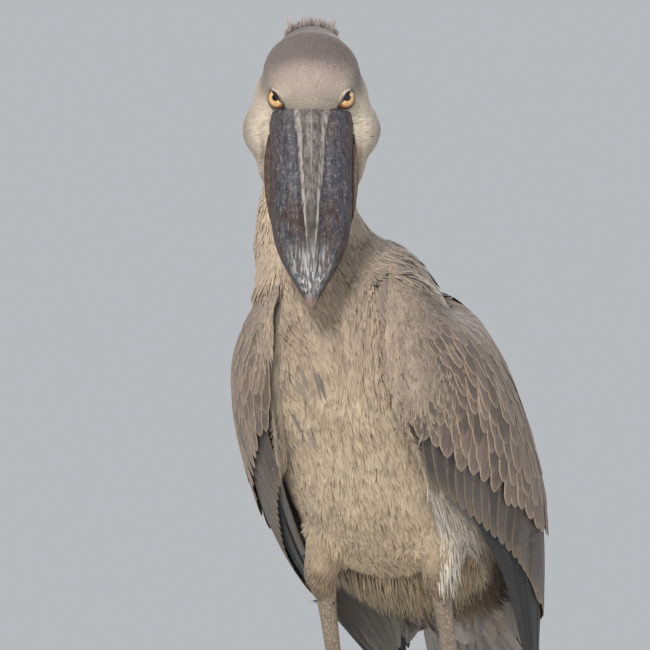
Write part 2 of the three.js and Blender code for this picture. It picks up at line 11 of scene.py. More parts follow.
import bpy
import numpy as np
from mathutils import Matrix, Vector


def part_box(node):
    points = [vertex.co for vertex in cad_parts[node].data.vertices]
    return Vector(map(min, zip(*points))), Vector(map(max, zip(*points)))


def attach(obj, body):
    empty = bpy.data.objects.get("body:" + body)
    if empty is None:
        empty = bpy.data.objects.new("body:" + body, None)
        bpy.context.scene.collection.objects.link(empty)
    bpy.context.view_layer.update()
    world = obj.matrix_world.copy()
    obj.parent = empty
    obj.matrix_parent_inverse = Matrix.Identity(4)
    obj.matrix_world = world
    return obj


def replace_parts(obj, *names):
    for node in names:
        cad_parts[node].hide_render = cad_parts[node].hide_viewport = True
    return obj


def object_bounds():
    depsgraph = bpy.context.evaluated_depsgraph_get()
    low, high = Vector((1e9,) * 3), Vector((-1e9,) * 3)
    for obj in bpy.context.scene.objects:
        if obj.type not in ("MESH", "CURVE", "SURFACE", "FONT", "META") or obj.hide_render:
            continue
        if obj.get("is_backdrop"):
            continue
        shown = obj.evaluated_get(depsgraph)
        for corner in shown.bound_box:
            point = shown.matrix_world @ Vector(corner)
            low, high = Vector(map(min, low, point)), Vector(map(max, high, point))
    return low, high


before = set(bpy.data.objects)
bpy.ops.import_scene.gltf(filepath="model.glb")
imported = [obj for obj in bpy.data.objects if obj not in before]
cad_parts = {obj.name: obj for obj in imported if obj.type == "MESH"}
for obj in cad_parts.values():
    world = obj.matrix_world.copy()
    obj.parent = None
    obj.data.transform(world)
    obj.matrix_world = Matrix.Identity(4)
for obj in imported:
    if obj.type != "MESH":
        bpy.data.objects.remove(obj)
LOG = logging.getLogger("shoebill")
Array = np.ndarray
BODY = "root"
MILLIMETRE = 0.001


class Side(Enum):
    """A side of the bird, with the sign of its own left axis."""

    LEFT = 1
    RIGHT = -1


class Region(Enum):
    """A stretch of plumage that is made as one coat piece."""

    CROWN = "crown"
    CHEEKS = "cheeks"
    NECK = "neck"
    BREAST_LEFT = "breast_left"
    BREAST_RIGHT = "breast_right"
    BELLY = "belly"
    BACK = "back"
    THIGHS = "thighs"


BODY_TURN = math.radians(20)
HEAD_DIP = math.radians(80)
HEAD_PLACE = np.array([-82.0, -160.0, 1031.0])
EYE_SPREAD = 37.0
EYE_RADIUS = 12.3
EYE_OUTWARD = math.radians(28)
# Body tube rows from the nape to the rump: left, forward, up, half width and half depth, in millimetres.
BODY_ROWS = np.array(
    [
        [-38, 124, 1072, 38, 34], [-54, 88, 1046, 44, 42], [-61, 68, 1000, 48, 49], [-64, 62, 950, 54, 54],
        [-67, 66, 900, 63, 62], [-57, 60, 845, 84, 74], [-28, 46, 790, 112, 102], [-6, 20, 700, 130, 118],
        [0, -34, 618, 132, 122], [0, -108, 556, 114, 106], [0, -178, 518, 84, 72], [0, -238, 488, 56, 38],
    ],
    dtype=float,
)
# Wing rows from the shoulder to the tip: forward, up, half width, depth to the belly and to the back, and the
# angles of its front and rear edges in degrees.
WING_ROWS = np.array(
    [
        [88, 838, 74, 42, 58, -38, 56], [98, 792, 112, 74, 92, -50, 66], [84, 744, 140, 98, 124, -56, 71],
        [45, 695, 154, 114, 146, -56, 73], [-4, 640, 160, 114, 150, -53, 74],
        [-63, 569, 160, 92, 140, -50, 74],
        [-120, 503, 148, 68, 112, -45, 72], [-185, 442, 126, 48, 76, -40, 68],
        [-255, 385, 101, 33, 42, -32, 60],
        [-338, 345, 78, 8, 10, -20, 30],
    ],
    dtype=float,
)
WING_TUCK = {Side.LEFT: 17.0, Side.RIGHT: 0.0}
# Bill rows from the face to the tip: along, half width, height of the ridge and of the cutting edge.
UPPER_BILL_ROWS = np.array(
    [
        [13.5, 47.5, 21, -22], [28, 48.0, 24, -22], [56, 47, 24, -21], [94, 47, 22, -20],
        [128, 46.5, 20.5, -20],
        [158, 43, 18, -21], [182, 35, 13.5, -22], [203, 23.5, 7, -24], [220, 12.5, -2, -28],
        [232, 5.5, -13, -34],
        [237, 2, -24, -36],
    ],
    dtype=float,
)
LOWER_BILL_ROWS = np.array(
    [
        [13.5, 43, -23.5, -58], [36, 48.5, -23.2, -60], [66, 53.5, -22.2, -58], [100, 53, -21.4, -54],
        [132, 48, -21.4, -49], [160, 39, -22.4, -44], [184, 26, -23.8, -39], [200, 13, -26, -35],
        [207, 4, -28, -33],
    ],
    dtype=float,
)
# The head's rounded masses in its own frame: across, along, crown, and the three half sizes.
HEAD_MASSES = np.array(
    [
        [0, -31, -6, 57, 50, 40], [0, -4, 4, 37, 24, 26], [25, -8, -36, 43, 44, 36],
        [-25, -8, -36, 43, 44, 36],
        [43, 26, -50, 38, 38, 34], [-43, 26, -50, 38, 38, 34], [22, 62, -66, 41, 46, 32],
        [-22, 62, -66, 41, 46, 32],
        [0, -50, -42, 46, 44, 44],
    ],
    dtype=float,
)
HEAD_MIDDLE = np.array([0.0, -8.0, -30.0])
HEAD_BLEND = 0.3
JOINTS = {
    "hip": (62, -30, 556), "knee": (71, 6, 494), "shank": (71, -12, 440), "heel": (74, -84, 272),
    "foot": (78, -46, 24),
}
SHANK_RADIUS = 8.2
HEEL_RADIUS = 15.0
TARSUS_RADIUS = 8.6
# Toes: turn from straight ahead in degrees, length, radius and number of joints.
TOES = {
    "middle": (3, 166, 9.4, 4), "inner": (-30, 128, 8.6, 3), "outer": (34, 140, 8.4, 5),
    "hallux": (176, 78, 8.2, 2),
}
TOE_OUT = 9.0
CLAW_LENGTH = 27.0
TAIL_FORWARD = -232.0
TAIL_UP = 494.0
TAIL_SLOPE = math.radians(41)


# Forms in millimetres, in a frame with the bird facing -Y


def between(table: Array, row: Array) -> Array:
    """Reads a table of stations at fractional rows, on a Catmull-Rom cubic through the four nearest rows.

    Args:
        table: Rows by values.
        row: Fractional row numbers, of any shape.

    Returns:
        The values, with one more axis than row.
    """
    last = len(table) - 1
    row = np.asarray(row, dtype=float)
    i = np.clip(np.floor(row).astype(int), 0, last - 1)
    f = (row - i)[..., None]
    a, b, c, d = (table[np.clip(i + k, 0, last)] for k in (-1, 0, 1, 2))
    return b + 0.5 * f * (c - a + f * (2 * a - 5 * b + 4 * c - d + f * (3 * (b - c) + d - a)))


def unit(vectors: Array) -> Array:
    """Scales vectors on the last axis to length one."""
    return vectors / np.maximum(np.linalg.norm(vectors, axis=-1, keepdims=True), 1e-9)


def square_to(vectors: Array, axis: Array) -> Array:
    """The vectors' parts that are square to a unit axis, scaled to length one."""
    return unit(vectors - axis * (vectors * axis).sum(axis=1, keepdims=True))


def smooth(value: Array, low: float, high: float) -> Array:
    """Smooth step from 0 at low to 1 at high: three t squared less two t cubed."""
    t = np.clip((value - low) / (high - low), 0.0, 1.0)
    return t * t * (3 - 2 * t)


def place(left: Array, forward: Array, up: Array) -> Array:
    """Turns body coordinates, with the body under the head, into the shared frame."""
    left, forward, up = np.broadcast_arrays(*(np.asarray(v, float) for v in (left, forward, up)))
    c, s = math.cos(-BODY_TURN), math.sin(-BODY_TURN)
    return np.stack([left * c + forward * s, left * s - forward * c, up], axis=-1)


BODY_LEFT = place(1.0, 0.0, 0.0)
HEAD_AXES = np.array(
    [
        [1.0, 0.0, 0.0],
        [0.0, -math.cos(HEAD_DIP), -math.sin(HEAD_DIP)],
        [0.0, -math.sin(HEAD_DIP), math.cos(HEAD_DIP)],
    ]
)


def head_place(across: Array, along: Array, crown: Array) -> Array:
    """Head coordinates to the shared frame: to the head's left, along the bill, and towards the crown."""
    parts = np.broadcast_arrays(*(np.asarray(v, float) for v in (across, along, crown)))
    return np.stack(parts, axis=-1) @ HEAD_AXES + HEAD_PLACE


def head_local(points: Array) -> Array:
    """Shared frame to head coordinates."""
    return (points - HEAD_PLACE) @ HEAD_AXES.T


def head_depth(local: Array) -> Array:
    """How far places of the head's frame lie outside its masses.

    Each mass is an ellipsoid; the union is soft: minus the log of the sum of the exponentials of the depths.

    Args:
        local: Head coordinates.

    Returns:
        Depths in millimetres, negative inside.
    """
    apart = (local[..., None, :] - HEAD_MASSES[:, :3]) / HEAD_MASSES[:, 3:]
    ratio = np.linalg.norm(apart, axis=-1)
    size = HEAD_MASSES[:, 3:].min(axis=1)
    return -np.log(np.exp(-HEAD_BLEND * (ratio - 1) * size).sum(axis=-1) + 1e-30) / HEAD_BLEND


def head_surface(ways: Array) -> Array:
    """Where rays from the head's middle leave its masses, found by halving the reach.

    Args:
        ways: Unit directions in the head's frame.

    Returns:
        Head coordinates of the surface.
    """
    inside = np.full(ways.shape[:-1], 20.0)
    outside = np.full(ways.shape[:-1], 140.0)
    for _ in range(22):
        reach = (inside + outside) / 2
        out = head_depth(ways * reach[..., None] + HEAD_MIDDLE) > 0
        outside = np.where(out, reach, outside)
        inside = np.where(out, inside, reach)
    return ways * inside[..., None] + HEAD_MIDDLE


def tube_frame(points: Array) -> tuple[Array, Array, Array]:
    """Directions along a path of points: along it, to the body's left, and out from the two.

    Args:
        points: Path points in order.

    Returns:
        The run, across and out directions at each point.
    """
    run = unit(np.gradient(points, axis=0))
    across = unit(BODY_LEFT - run * (run @ BODY_LEFT)[:, None])
    return run, across, np.cross(run, across)


def tube(points: Array, wide: Array, deep: Array, around: int) -> Array:
    """Rings of a tube along a path: the centre, plus sine across and cosine out, scaled by its half sizes.

    Args:
        points: Path points.
        wide: Half widths.
        deep: Half depths.
        around: Points in each ring.

    Returns:
        A grid of rings by points around.
    """
    _, across, out = tube_frame(points)
    angle = np.linspace(0, 2 * math.pi, around, endpoint=False)[None, :, None]
    left = across[:, None] * np.sin(angle) * np.asarray(wide)[:, None, None]
    back = out[:, None] * np.cos(angle) * np.asarray(deep)[:, None, None]
    return points[:, None] + left - back


def wing_place(side: Side, down: Array, over: Array, lift: Array) -> Array:
    """A place on the wing's outer face.

    The face is part of an ellipse at each station: cosine of the angle out and sine of it back, each moved
    out along the ellipse's normal by lift.

    Args:
        side: Which wing.
        down: From the shoulder, 0, to the tip, 1.
        over: From the front edge, 0, to the rear edge, 1.
        lift: Height over the face.

    Returns:
        Places in the shared frame.
    """
    down, over, lift = np.broadcast_arrays(*(np.asarray(v, float) for v in (down, over, lift)))
    row = down * (len(WING_ROWS) - 1)
    here = between(WING_ROWS, row)
    step = between(WING_ROWS, row + 0.1)[..., :2] - between(WING_ROWS, row - 0.1)[..., :2]
    run = unit(step)
    wide = here[..., 2] - WING_TUCK[side] * np.maximum(1 - 1.7 * down, 0)
    angle = np.radians(here[..., 5] + (here[..., 6] - here[..., 5]) * over)
    deep = np.where(angle < 0, here[..., 3], here[..., 4])
    facing = unit(np.stack([np.cos(angle) / wide, np.sin(angle) / deep], axis=-1))
    out = wide * np.cos(angle) + lift * facing[..., 0]
    back = deep * np.sin(angle) + lift * facing[..., 1]
    return place(side.value * out, here[..., 0] + back * run[..., 1], here[..., 1] - back * run[..., 0])


def wing_axes(side: Side, down: Array, over: Array) -> tuple[Array, Array, Array]:
    """Steps of the wing's face for a unit down and a unit over, and its outward normal."""
    along = (wing_place(side, down + 0.01, over, 0.0) - wing_place(side, down - 0.01, over, 0.0)) / 0.02
    across = (wing_place(side, down, over + 0.01, 0.0) - wing_place(side, down, over - 0.01, 0.0)) / 0.02
    return along, across, unit(wing_place(side, down, over, 1.0) - wing_place(side, down, over, 0.0))


def wing_step(side: Side, down: Array, over: Array, way: Array) -> Array:
    """Shares down and over that move a place of the wing's face along a direction, by least squares.

    Args:
        side: Which wing.
        down: Places down the wing.
        over: Places over it.
        way: Directions in the shared frame.

    Returns:
        Down and over shares on the last axis.
    """
    along, across, _ = wing_axes(side, down, over)
    a, b, c = (along**2).sum(-1), (across**2).sum(-1), (along * across).sum(-1)
    p, q = (along * way).sum(-1), (across * way).sum(-1)
    return np.stack([p * b - q * c, q * a - p * c], axis=-1) / (a * b - c**2)[..., None]


def tail_place(out: Array, reach: Array, lift: Array) -> Array:
    """A place on the tail: out from its midline, back from its root, and up off its plane."""
    c, s = math.cos(TAIL_SLOPE), math.sin(TAIL_SLOPE)
    return place(out, TAIL_FORWARD - reach * c - lift * s, TAIL_UP - reach * s + lift * c)


def joint(name: str, side: Side) -> Array:
    """A named joint of one leg in the shared frame."""
    left, forward, up = JOINTS[name]
    return place(side.value * left, forward, up)


def model_shift() -> Array:
    """The step from the forms' frame to the model's, in millimetres, from the place of the left eye."""
    low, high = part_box("eye_left")
    centre = (np.array(low) + np.array(high)) / 2 / MILLIMETRE
    return centre - head_place(EYE_SPREAD, 0.0, 0.0)


SHIFT = model_shift()


# Meshes


@dataclass
class Sheet:
    """Points, quads and triangles of a mesh, with its maps, as whole arrays."""

    points: Array
    quads: Array = field(default_factory=lambda: np.zeros((0, 4), int))
    triangles: Array = field(default_factory=lambda: np.zeros((0, 3), int))
    values: dict[str, Array] = field(default_factory=dict)
    colours: dict[str, Array] = field(default_factory=dict)
    maps: dict[str, Array] = field(default_factory=dict)
    facing: Array | None = None


def join_all(sheets: Sequence[Sheet]) -> Sheet:
    """Several meshes as one.

    Args:
        sheets: Meshes that carry the same values and maps.

    Returns:
        One mesh.
    """
    steps = np.cumsum([0] + [len(s.points) for s in sheets])
    first = sheets[0]
    return Sheet(
        np.concatenate([s.points for s in sheets]),
        np.concatenate([s.quads + k for s, k in zip(sheets, steps)]),
        np.concatenate([s.triangles + k for s, k in zip(sheets, steps)]),
        {k: np.concatenate([s.values[k] for s in sheets]) for k in first.values},
        {k: np.concatenate([s.colours[k] for s in sheets]) for k in first.colours},
        {k: np.concatenate([s.maps[k] for s in sheets]) for k in first.maps},
    )


def join_cells(sheets: Sequence[Sheet]) -> Sheet:
    """Several meshes as one, each with its own row of the OFBake map."""
    joined = join_all(sheets)
    row = np.repeat(np.arange(len(sheets)), [len(s.points) for s in sheets])
    joined.maps["OFBake"][:, 1] = (joined.maps["OFBake"][:, 1] + row) / len(sheets)
    return joined


def grid_quads(rows: int, columns: int, closed: bool) -> Array:
    """Quads of a grid of points, counted row by row; a closed grid joins its last column to its first."""
    j, i = np.meshgrid(np.arange(rows - 1), np.arange(columns if closed else columns - 1), indexing="ij")
    j, i = j.ravel(), i.ravel()
    right = (i + 1) % columns
    return np.stack(
        [j * columns + i, j * columns + right, (j + 1) * columns + right, (j + 1) * columns + i], 1
    )


def capped_tube(rings: Array) -> Sheet:
    """A closed mesh of rings, with a fan on each end.

    Args:
        rings: Rings by points around by three.

    Returns:
        The mesh, its points ring by ring with the two end centres last.
    """
    count, around, _ = rings.shape
    points = np.concatenate([rings.reshape(-1, 3), rings[:1].mean(axis=1), rings[-1:].mean(axis=1)])
    i = np.arange(around)
    right = (i + 1) % around
    last = (count - 1) * around
    first_cap = np.stack([np.full(around, count * around), right, i], 1)
    last_cap = np.stack([np.full(around, count * around + 1), last + i, last + right], 1)
    return Sheet(points, grid_quads(count, around, True), np.concatenate([first_cap, last_cap]))


def build_object(name: str, sheet: Sheet, look: bpy.types.Material, slot: str | None) -> bpy.types.Object:
    """Puts a mesh into Blender as a piece of the bird.

    Args:
        name: The piece's name.
        sheet: Its mesh in millimetres, in the forms' frame.
        look: Its material.
        slot: The piece's material slot; only whether it is None is read, and None marks a scratch object,
            which is neither attached nor logged.

    Returns:
        The new object.
    """
    mesh = bpy.data.meshes.new(name)
    points = ((sheet.points + SHIFT) * MILLIMETRE).astype(np.float32)
    mesh.vertices.add(len(points))
    mesh.vertices.foreach_set("co", points.ravel())
    corners = np.concatenate([sheet.quads.ravel(), sheet.triangles.ravel()]).astype(np.int32)
    sizes = np.concatenate([np.full(len(sheet.quads), 4), np.full(len(sheet.triangles), 3)])
    mesh.loops.add(len(corners))
    mesh.loops.foreach_set("vertex_index", corners)
    mesh.polygons.add(len(sizes))
    mesh.polygons.foreach_set("loop_start", np.concatenate([[0], np.cumsum(sizes)[:-1]]).astype(np.int32))
    mesh.update(calc_edges=True)
    mesh.shade_smooth()
    for label, value in sheet.values.items():
        mesh.attributes.new(label, "FLOAT", "POINT").data.foreach_set("value", value.astype(np.float32))
    for label, value in sheet.colours.items():
        rgba = np.concatenate([value, np.ones((len(value), 1))], axis=1).astype(np.float32)
        mesh.attributes.new(label, "FLOAT_COLOR", "POINT").data.foreach_set("color", rgba.ravel())
    for label, value in sheet.maps.items():
        layer = mesh.uv_layers.new(name=label)
        layer.uv.foreach_set("vector", value[corners].astype(np.float32).ravel())
    if sheet.facing is not None:
        mesh.normals_split_custom_set_from_vertices(sheet.facing)
    mesh.materials.append(look)
    made = bpy.data.objects.new(name, mesh)
    bpy.context.scene.collection.objects.link(made)
    if slot is not None:
        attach(made, BODY)
        LOG.info("%s: %d triangles", name, 2 * len(sheet.quads) + len(sheet.triangles))
    return made


# Finishes


def srgb(red: float, green: float, blue: float) -> tuple[float, float, float, float]:
    """A colour given as 0 to 255 on a screen, as linear light with full cover."""
    return (
        tuple(((c / 255 + 0.055) / 1.055) ** 2.4 if c > 10 else c / 255 / 12.92 for c in (red, green, blue))
        + (1.0,)
    )


class Nodes:
    """A short way to place and join shader nodes in one tree."""

    def __init__(self, tree: bpy.types.NodeTree) -> None:
        """Takes the tree to build in."""
        self.tree = tree

    def add(self, kind: str, inputs: dict | None = None, **settings: object) -> bpy.types.Node:
        """Adds a node.

        Args:
            kind: The node's type without its ShaderNode prefix.
            inputs: Socket names or numbers with a value or another node's output.
            settings: Properties of the node.

        Returns:
            The node.
        """
        node = self.tree.nodes.new("ShaderNode" + kind)
        for key, value in settings.items():
            setattr(node, key, value)
        for key, value in (inputs or {}).items():
            if isinstance(value, bpy.types.NodeSocket):
                self.tree.links.new(value, node.inputs[key])
            else:
                node.inputs[key].default_value = value
        return node

    def math(self, operation: str, *values: object) -> bpy.types.NodeSocket:
        """A Math node's result."""
        node = self.add("Math", dict(enumerate(values)), operation=operation)
        return node.outputs[0]

    def mix(self, share: object, first: object, second: object, blend: str = "MIX") -> bpy.types.NodeSocket:
        """Mixes two colours by share."""
        node = self.add("Mix", data_type="RGBA", blend_type=blend)
        for index, value in ((0, share), (6, first), (7, second)):
            if isinstance(value, bpy.types.NodeSocket):
                self.tree.links.new(value, node.inputs[index])
            else:
                node.inputs[index].default_value = value
        return node.outputs[2]

    def grey(self, light: object) -> bpy.types.NodeSocket:
        """A grey of that lightness."""
        return self.add("CombineColor", {0: light, 1: light, 2: light}).outputs[0]

    def step(
        self, value: object, low: float, high: float, start: float = 0.0, end: float = 1.0
    ) -> bpy.types.NodeSocket:
        """A smooth step of value from start at low to end at high."""
        inputs = {"Value": value, "From Min": low, "From Max": high, "To Min": start, "To Max": end}
        return self.add("MapRange", inputs, interpolation_type="SMOOTHSTEP").outputs["Result"]

    def attribute(self, name: str, output: str) -> bpy.types.NodeSocket:
        """Reads a value or colour that the mesh carries."""
        return self.add("Attribute", attribute_name=name).outputs[output]

    def noise(
        self, scale: float, stretch: Sequence[float] = (1, 1, 1), detail: float = 3.0
    ) -> bpy.types.NodeSocket:
        """Noise on Object coordinates, stretched by axis."""
        place_node = self.add("TexCoord").outputs["Object"]
        spread = self.add("Mapping", {"Vector": place_node, "Scale": tuple(stretch)}).outputs["Vector"]
        return self.add("TexNoise", {"Vector": spread, "Scale": scale, "Detail": detail}).outputs["Fac"]


def new_group(name: str, inputs: dict[str, str], outputs: dict[str, str]) -> bpy.types.NodeTree:
    """Makes a shader node group with named sockets.

    Args:
        name: The group's name.
        inputs: Socket names and kinds, Color or Float.
        outputs: Socket names and kinds.

    Returns:
        The group's tree, with its input and output nodes in it.
    """
    tree = bpy.data.node_groups.new(name, "ShaderNodeTree")
    for label, kind in inputs.items():
        tree.interface.new_socket(label, in_out="INPUT", socket_type="NodeSocket" + kind)
    for label, kind in outputs.items():
        tree.interface.new_socket(label, in_out="OUTPUT", socket_type="NodeSocket" + kind)
    tree.nodes.new("NodeGroupInput")
    tree.nodes.new("NodeGroupOutput")
    return tree


def vane_marks() -> bpy.types.NodeTree:
    """The marks of one feather from its own map: a shaft, slanting barbs, pale edges and a paler tip.

    Returns:
        A group from the feather's colours to Color, Height and Gloss.
    """
    kinds = {
        "Web": "Color", "Edge": "Color", "Shaft": "Color", "Rim": "Float", "Streak": "Float", "Tip": "Float"
    }
    tree = new_group("vane marks", kinds, {"Color": "Color", "Height": "Float", "Gloss": "Float"})
    n = Nodes(tree)
    given, result = tree.nodes["Group Input"], tree.nodes["Group Output"]
    place_on = n.add("SeparateXYZ", {0: n.add("UVMap", uv_map="Vane").outputs[0]})
    across, along = place_on.outputs[0], place_on.outputs[1]
    out = n.math("ABSOLUTE", n.math("SUBTRACT", n.math("MULTIPLY", across, 2.0), 1.0))
    tone = n.attribute("tone", "Fac")
    slanted = n.math("SUBTRACT", along, n.math("MULTIPLY", out, 0.16))
    wave_place = n.add("CombineXYZ", {0: slanted, 1: n.math("MULTIPLY", out, 0.06), 2: tone})
    barbs = n.add("TexNoise", {"Vector": wave_place.outputs[0], "Scale": 55.0, "Detail": 4.0}).outputs["Fac"]
    broad_at = {
        0: n.math("MULTIPLY", across, 3.2), 1: n.math("MULTIPLY", along, 0.7),
        2: n.math("MULTIPLY", tone, 9.0)
    }
    broad_place = n.add("CombineXYZ", broad_at)
    broad = n.add("TexNoise", {"Vector": broad_place.outputs[0], "Scale": 2.6, "Detail": 3.0}).outputs["Fac"]
    shaft = n.step(out, 0.02, 0.07, 1.0, 0.0)
    rim_noise = n.math("MULTIPLY", n.math("SUBTRACT", barbs, 0.5), 0.4)
    side_rim = n.math(
        "MULTIPLY", n.step(n.math("ADD", out, rim_noise), 0.8, 0.99), n.step(along, 0.2, 0.8, 0.25, 1.0)
    )
    tip_rim = n.step(n.math("ADD", along, n.math("MULTIPLY", rim_noise, 0.3)), 0.93, 0.995)
    rim = n.math("MULTIPLY", n.math("MAXIMUM", side_rim, tip_rim), given.outputs["Rim"])
    streak = n.math("MULTIPLY", n.math("SUBTRACT", broad, 0.5), given.outputs["Streak"])
    light = n.math("ADD", 1.0, n.math("ADD", streak, n.math("MULTIPLY", n.math("SUBTRACT", barbs, 0.5), 0.5)))
    light = n.math("MULTIPLY", light, n.math("ADD", 0.69, n.math("MULTIPLY", tone, 0.62)))
    grey = n.grey(light)
    web = n.mix(1.0, given.outputs["Web"], grey, "MULTIPLY")
    tip = n.math(
        "MULTIPLY", n.step(n.math("SUBTRACT", along, n.math("MULTIPLY", out, -0.05)), 0.6, 1.0),
        given.outputs["Tip"]
    )
    web = n.mix(tip, web, given.outputs["Edge"])
    marked = n.mix(rim, web, given.outputs["Edge"])
    marked = n.mix(
        n.math("MULTIPLY", shaft, n.step(along, 0.88, 1.0, 0.75, 0.0)), marked, given.outputs["Shaft"]
    )
    height = n.math("ADD", n.math("MULTIPLY", barbs, 0.55), n.math("MULTIPLY", shaft, 1.2))
    gloss = n.math("ADD", 0.52, n.math("MULTIPLY", barbs, 0.3))
    for label, value in (("Color", marked), ("Height", height), ("Gloss", gloss)):
        tree.links.new(value, result.inputs[label])
    return tree


def tuft_marks() -> bpy.types.NodeTree:
    """The marks of small body feathers: the plumage colour, darker at the root, varied from tuft to tuft.

    Returns:
        A group to Color and Height.
    """
    kinds = {"Spread": "Float", "Tip": "Float", "Patch": "Float", "Clump": "Float"}
    tree = new_group("tuft marks", kinds, {"Color": "Color", "Height": "Float"})
    n = Nodes(tree)
    given, result = tree.nodes["Group Input"], tree.nodes["Group Output"]
    tone = n.attribute("tone", "Fac")
    along = n.attribute("along", "Fac")
    fine = n.noise(900.0, (1, 1, 0.35), 2.0)
    patch = n.noise(38.0, (1, 1, 0.6), 3.0)
    varied = n.math("MULTIPLY", n.math("SUBTRACT", tone, 0.5), given.outputs["Spread"])
    light = n.math(
        "ADD", n.math("ADD", 0.92, varied), n.math("MULTIPLY", n.step(along, 0.1, 0.9), given.outputs["Tip"])
    )
    light = n.math("ADD", light, n.math("MULTIPLY", n.math("SUBTRACT", patch, 0.5), given.outputs["Patch"]))
    light = n.math("ADD", light, n.math("MULTIPLY", n.math("SUBTRACT", fine, 0.5), 0.16))
    clump = n.noise(150.0, (1, 1, 0.32), 2.0)
    light = n.math("ADD", light, n.math("MULTIPLY", n.math("SUBTRACT", clump, 0.5), given.outputs["Clump"]))
    grey = n.grey(light)
    coloured = n.mix(1.0, n.attribute("plume", "Color"), grey, "MULTIPLY")
    tree.links.new(coloured, result.inputs["Color"])
    tree.links.new(fine, result.inputs["Height"])
    return tree


GROUPS: dict[str, bpy.types.NodeTree] = {}


def group(name: str, make: Callable[[], bpy.types.NodeTree]) -> bpy.types.NodeTree:
    """The shared group of that name, made on first use."""
    if name not in GROUPS:
        GROUPS[name] = make()
    return GROUPS[name]


def new_material(
    name: str, roughness: float, sheen: float = 0.0, coat: float = 0.0
) -> tuple[bpy.types.Material, Nodes, bpy.types.Node]:
    """Makes a material with its shader set to plain values.

    Args:
        name: The finish's name.
        roughness: Its roughness where nothing drives it.
        sheen: Weight of the soft sheen.
        coat: Weight of the clear coat.

    Returns:
        The material, a helper for its nodes, and its shader.
    """
    look = bpy.data.materials.new(name)
    look.use_nodes = True
    shader = look.node_tree.nodes["Principled BSDF"]
    shader.inputs["Roughness"].default_value = roughness
    shader.inputs["Sheen Weight"].default_value = sheen
    shader.inputs["Sheen Roughness"].default_value = 0.5
    shader.inputs["Coat Weight"].default_value = coat
    shader.inputs["Specular IOR Level"].default_value = 0.35
    return look, Nodes(look.node_tree), shader


@dataclass(frozen=True)
class VaneFinish:
    """The look of large feathers: colours of web, edge and shaft, and strength of edge, streaks and tip."""

    name: str
    web: tuple[float, float, float, float]
    edge: tuple[float, float, float, float]
    shaft: tuple[float, float, float, float]
    rim: float = 0.8
    streak: float = 0.5
    plume_share: float = 0.0
    tip: float = 0.0

    def build(self) -> bpy.types.Material:
        """Makes the material."""
        look, n, shader = new_material(self.name, 0.6, 0.12)
        web = n.mix(self.plume_share, self.web, n.attribute("plume", "Color"))
        marks = n.add("Group", node_tree=group("vane marks", vane_marks))
        n.tree.links.new(web, marks.inputs["Web"])
        settings = {
            "Edge": self.edge, "Shaft": self.shaft, "Rim": self.rim, "Streak": self.streak, "Tip": self.tip,
        }
        for label, value in settings.items():
            marks.inputs[label].default_value = value
        n.tree.links.new(marks.outputs["Color"], shader.inputs["Base Color"])
        n.tree.links.new(marks.outputs["Gloss"], shader.inputs["Roughness"])
        bump = n.add("Bump", {"Height": marks.outputs["Height"], "Strength": 0.35, "Distance": 0.0006})
        n.tree.links.new(bump.outputs[0], shader.inputs["Normal"])
        return look


@dataclass(frozen=True)
class TuftFinish:
    """The look of small soft feathers: how much tufts differ, how pale their tips are, and how blotched."""

    name: str
    spread: float = 0.25
    tip: float = 0.15
    patch: float = 0.3
    clump: float = 0.9

    def build(self) -> bpy.types.Material:
        """Makes the material."""
        look, n, shader = new_material(self.name, 0.85, 0.25)
        marks = n.add("Group", node_tree=group("tuft marks", tuft_marks))
        settings = {"Spread": self.spread, "Tip": self.tip, "Patch": self.patch, "Clump": self.clump}
        for label, value in settings.items():
            marks.inputs[label].default_value = value
        n.tree.links.new(marks.outputs["Color"], shader.inputs["Base Color"])
        return look


@dataclass(frozen=True)
class SkinFinish:
    """The skin under the feathers, in the plumage's own colours, a little darker as feathers' roots are."""

    name: str = "skin"

    def build(self) -> bpy.types.Material:
        """Makes the material."""
        look, n, shader = new_material(self.name, 0.9, 0.1)
        down = n.noise(420.0, (1, 1, 0.3), 3.0)
        light = n.math("ADD", 0.6, n.math("MULTIPLY", down, 0.4))
        grey = n.grey(light)
        n.tree.links.new(
            n.mix(1.0, n.attribute("plume", "Color"), grey, "MULTIPLY"), shader.inputs["Base Color"]
        )
        bump = n.add("Bump", {"Height": down, "Strength": 0.5, "Distance": 0.001})
        n.tree.links.new(bump.outputs[0], shader.inputs["Normal"])
        return look


